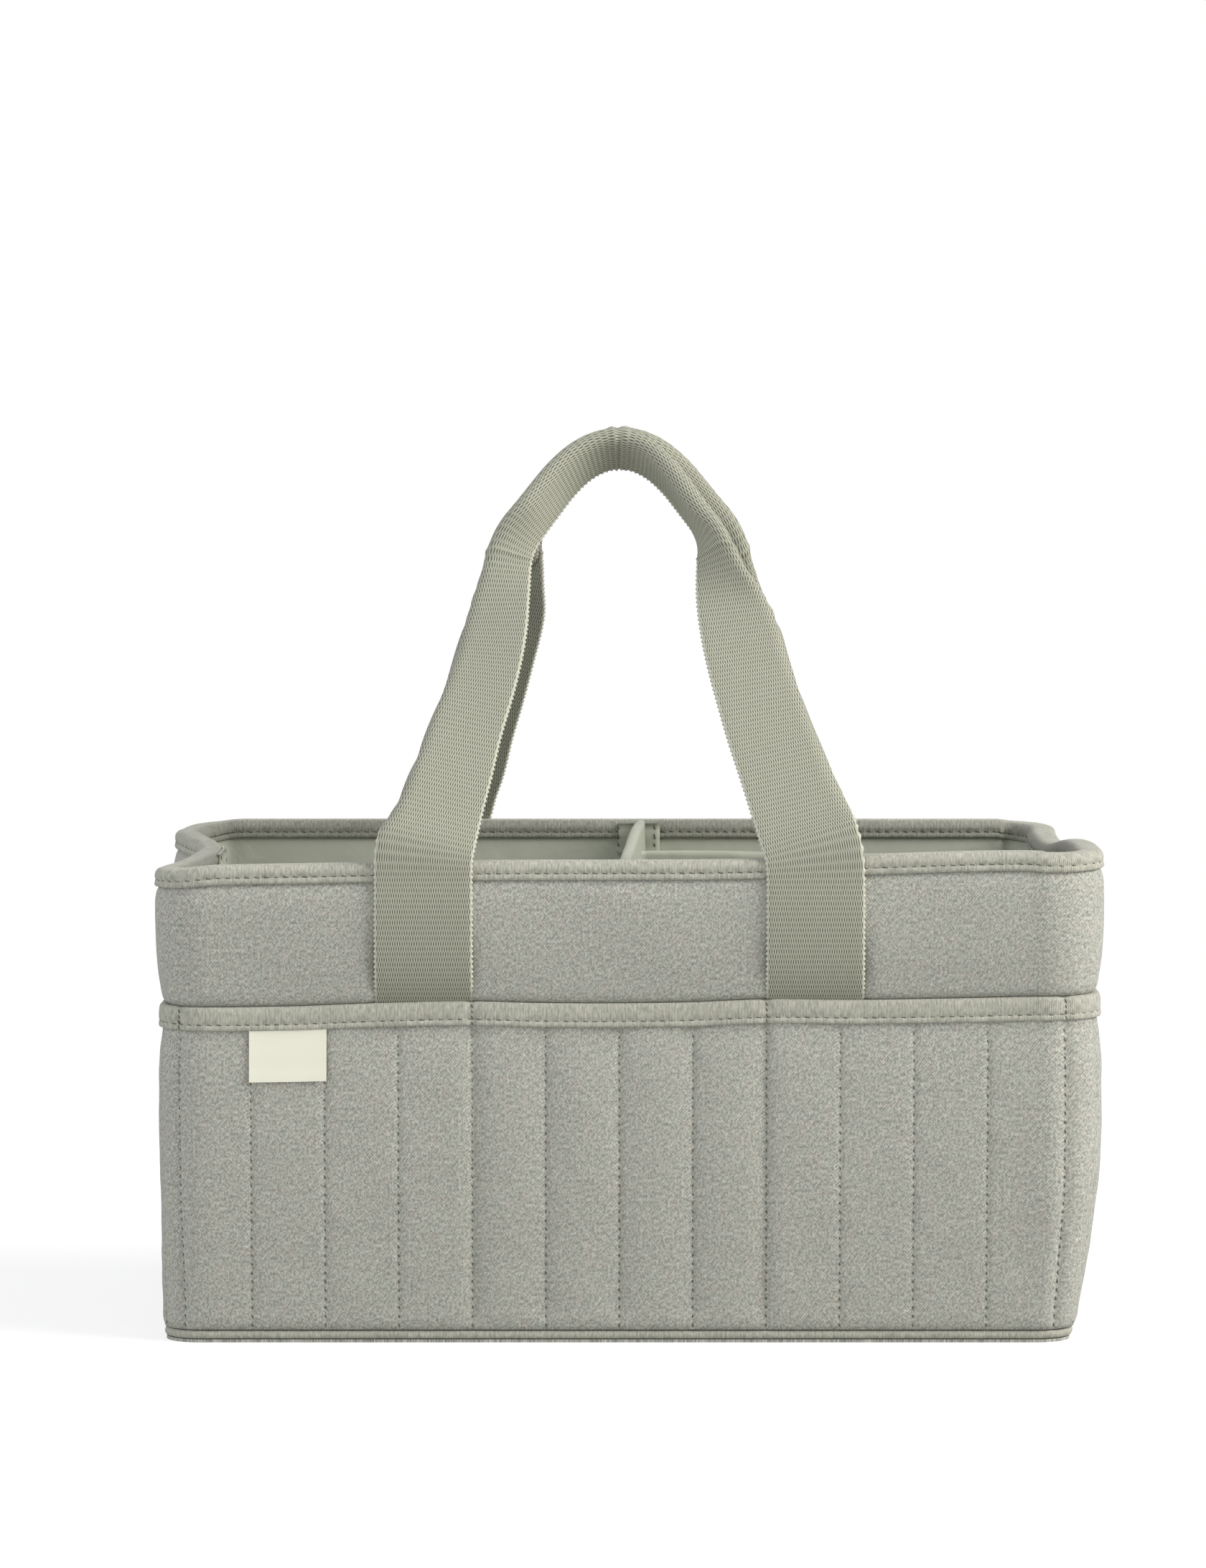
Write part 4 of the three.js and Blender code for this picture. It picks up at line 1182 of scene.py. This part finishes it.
def strap(wall, right, turn):
    """One whole strap, made for the front and turned half round, with a turn of -1, for the back."""
    name, body = wall + "_strap", wall + "_handle"
    distance, path, inward, back, fold, line = strap_frames(strap_knots(right))
    x, y, angle = folded_tape(fold, line, tape_shares)
    # The selvedge: small loops of weft, one for each row of floats
    wave = np.cos(2 * math.pi * distance / float_length)
    edge = np.where(np.abs(tape_shares) > 0.99, np.sign(tape_shares), 0)
    loops = 0.42 * edge[None, :] * wave[:, None]
    x, y = x + loops * np.cos(angle), y + loops * np.sin(angle)
    # In the grip the tape is bent on edge, so its rows are squeezed into ribs
    squeezed = ease(path[:, 2], hinge_height + 0.8 * loop_height, hinge_height + 0.98 * loop_height)
    ribs = 0.2 * wave[:, None] * squeezed[:, None] * ease(tape_shares, 0, 0.6)[None, :]
    # At the top the two lengths of the tape are joined: a ridge with a dent on each side of it
    from_join = np.abs(distance - distance[np.argmax(path[:, 2])])
    dents = 0.5 * np.exp(-(((from_join - 1.6) / 0.8) ** 2)) - 0.35 * np.exp(-((from_join / 0.6) ** 2))
    # The stitches across the ends of the grip pull two more dents into it
    crease = hinge_height + crease_rise * loop_height
    crossed = np.flatnonzero(np.diff(np.sign(path[:, 2] - crease)))
    for row in crossed:
        dents = dents + 0.55 * np.exp(-(((distance - distance[row]) / 0.9) ** 2))
    ribs = ribs + dents[:, None]
    thin = np.where(np.abs(tape_shares) > 0.99, 0.45, np.where(np.abs(tape_shares) > 0.98, 0.8, 1))
    faces = []
    for side in (-1, 1):
        stand = side * tape_thickness / 2 * thin[None, :] - ribs
        fx = x - np.sin(angle) * stand
        fy = y + np.cos(angle) * stand
        faces.append(path[:, None] + inward[:, None] * fx[..., None] + back[:, None] * fy[..., None])
    about = np.array([turn, turn, 1])
    sections = np.concatenate([faces[0], faces[1][:, ::-1]], 1) * about
    points = np.transpose(sections, (1, 0, 2))
    across = np.concatenate([tape_shares, tape_shares[::-1], tape_shares[:1]]) * tape_width / 2
    along = distance[None, :] + 0 * across[:, None]
    mesh = grid_mesh(name, points, across[:, None] + 0 * along, along)
    tails = [f"{wall}_{side}_strap_tail" for side in ("left", "right")]
    made = place(name, mesh, "webbing", [body] + tails, body=None)
    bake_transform(made)
    # Two rows of stitches across each end of the grip, on the faces in front and behind
    middles, ahead, out = [], [], []
    for row in (crossed[0], crossed[0] + 4, crossed[1], crossed[1] - 4):
        face = faces[0][row] * about
        for shown in (tape_shares > 0.12, tape_shares < -0.5):
            run = lengths(face[shown], 0)
            at = np.arange(1.2, run[-1] - 0.6, 2.3)
            here, next_to = (np.stack([np.interp(at + step, run, axis) for axis in face[shown].T], -1)
                             for step in (0, 0.4))
            middles.append(here)
            ahead.append(next_to - here)
            turned = angle[row, shown].mean()
            outward = inward[row] * np.sin(turned) - back[row] * np.cos(turned)
            out.append(np.tile(outward * about, (len(at), 1)))
    stitches(name + "_grip_stitches", *(np.concatenate(part) for part in (middles, ahead, out)), tape_thread,
             body=body, length=2, thickness=0.5, slant=0)


tape_thread = spun_polyester_thread("spun_tape_thread", "#8d8f7e")
strap("front", right_leg, 1)
strap("back", back_right_leg, -1)

# %% [markdown]
# ## Loop tape strips
#
# Each inner wall has an upright strip that the divider tabs grip. The strip is cased in lining cloth
# with a row of stitches down each edge. At the back and the left its casing goes on over the rim
# binding, and at the front and the right it ends below it.

# %% Strips
strip_width = 25
strip_foot = 8
tall_top = rim_height - 1.2  # of the strips at the back and the left, which go on over the binding
short_top = rim_height - 12.5
edge_to_seam = 2.2
sheet_thickness = 1
sides ={"front": 5.0, "back": half_round - 5.0, "right": side_middle, "left": -side_middle}


def strip_in(height):
    """Inner face of a strip: on the lining, then out over the binding."""
    return lining_in(height) - 1.3 - 1.2 * ease(height, rim_foot - 3, rim_foot + 0.5)


for name, middle_at in sides.items():
    top = tall_top if name in ("back", "left") else short_top
    wall_sheet(name + "_loop_strip", middle_at, strip_width, strip_foot, top, strip_in, sheet_thickness,
               "loop_tape", [name + "_loop_tape"], bulge=0.15, rows=60)
    edges = [middle_at - strip_width / 2 + edge_to_seam, middle_at + strip_width / 2 - edge_to_seam]
    seam_up(name + "_strip_stitches", edges, np.arange(strip_foot + 3, top - 1, stitch_pitch),
            lambda a, h: strip_in(h) - 0.3, padding=0, outward=-1)

# %% [markdown]
# ## Dividers
#
# The cross divider is a cloth sleeve over a stiffener. It bends: at the back it stands to the right,
# towards the front it swings left. The long divider is sewn to it in the right half. Both are soft
# pads with rounded top edges.


# %% Divider sleeves
divider_foot = 5.1
divider_top = rim_height - 5


def pad_loop(thickness, foot, top, puff):
    """Section of a soft pad: up one face, round the top and down the other."""
    half = thickness / 2
    rise = np.linspace(foot, top - half, 24)
    swell = puff * np.sin(np.linspace(0, math.pi, 24)) ** 0.6
    arc = np.linspace(0, math.pi, 9)[1:-1]
    left = np.stack([-half - swell, rise], -1)
    over = np.stack([-half * np.cos(arc), top - half + half * np.sin(arc)], -1)
    right = np.stack([half + swell[::-1], rise[::-1]], -1)
    return np.concatenate([left, over, right])


def divider(body, run, section_at, to_point):
    """A pad swept along a run of places, with its section and its path as functions."""
    points = np.array([[to_point(here, a, h) for a, h in section_at(here)] for here in run])
    points = np.transpose(points, (1, 0, 2))
    along = lengths(np.concatenate([points, points[:1]]), 0)
    mesh = grid_mesh(body + "_pad", points, run[None, :] + 0 * along, along)
    made = place(body + "_pad", mesh, "divider_cloth", [body + "_sleeve", body + "_stiffener"], body)


def cross_bend(y, height):
    """How far the cross divider stands to the right of its straight place."""
    high = ease(height, 40, 185)
    return through(np.array([y]), [-98, -56, 0, 58, 95], [-3.6, -3.3, -1.7, 1, 4.5])[0] * high


cross_middle = 5
cross_end = base_depth / 2 + lining_in(185) - 3.2


def cross_section(y):
    top = divider_top + 5.4 * ease(y, 30, 92) - 1.2 * ease(-y, 20, 90)
    end_share = 1 - abs(y) / (cross_end + 1)
    return pad_loop(3.4 + 1.4 * min(end_share * 6, 1), divider_foot, top, 0.5)


def cross_point(y, a, h):
    wall_end = base_depth / 2 + lining_in(h) - 3.2
    return (cross_middle + a + cross_bend(y, h), y / cross_end * wall_end, h)


divider("cross_divider", np.linspace(-cross_end, cross_end, 60), cross_section, cross_point)

long_start = cross_middle + 4.2
long_end = base_width / 2 + lining_in(185) - 3.7


def long_section(x):
    share = (x - long_start) / (long_end - long_start)
    top = divider_top + 0.5 * math.sin(share * 9) - 0.6 * math.sin(share * math.pi)
    return pad_loop(3.2 + 1.6 * min(6 * min(share, 1 - share) + 0.1, 1), divider_foot, top, 0.4)


def long_point(x, a, h):
    wall_end = base_width / 2 + lining_in(h) - 3.7
    share = (x - long_start) / (long_end - long_start)
    wave = 0.9 * math.sin(share * math.pi) * math.sin(share * 5 + h * 0.02)
    return (long_start + share * (wall_end - long_start), a + wave, h)


divider("long_divider", np.linspace(long_start, long_end, 70), long_section, long_point)

# %% Divider tabs
tab_foot = 9
tab_top = rim_height - 13.5
tab_width = 24
long_tab_width = 15


def tab_in(height):
    return lining_in(height) - 2.9


for name in ("front", "back"):
    wall_sheet(name + "_tab", sides[name], tab_width, tab_foot, tab_top, tab_in, sheet_thickness,
               "loop_tape", [name + "_divider_tab"], "cross_divider")
wall_sheet("long_tab", side_middle, long_tab_width, tab_foot, tab_top, lambda h: lining_in(h) - 3.3,
           sheet_thickness, "loop_tape", ["long_divider_tab"], "long_divider")
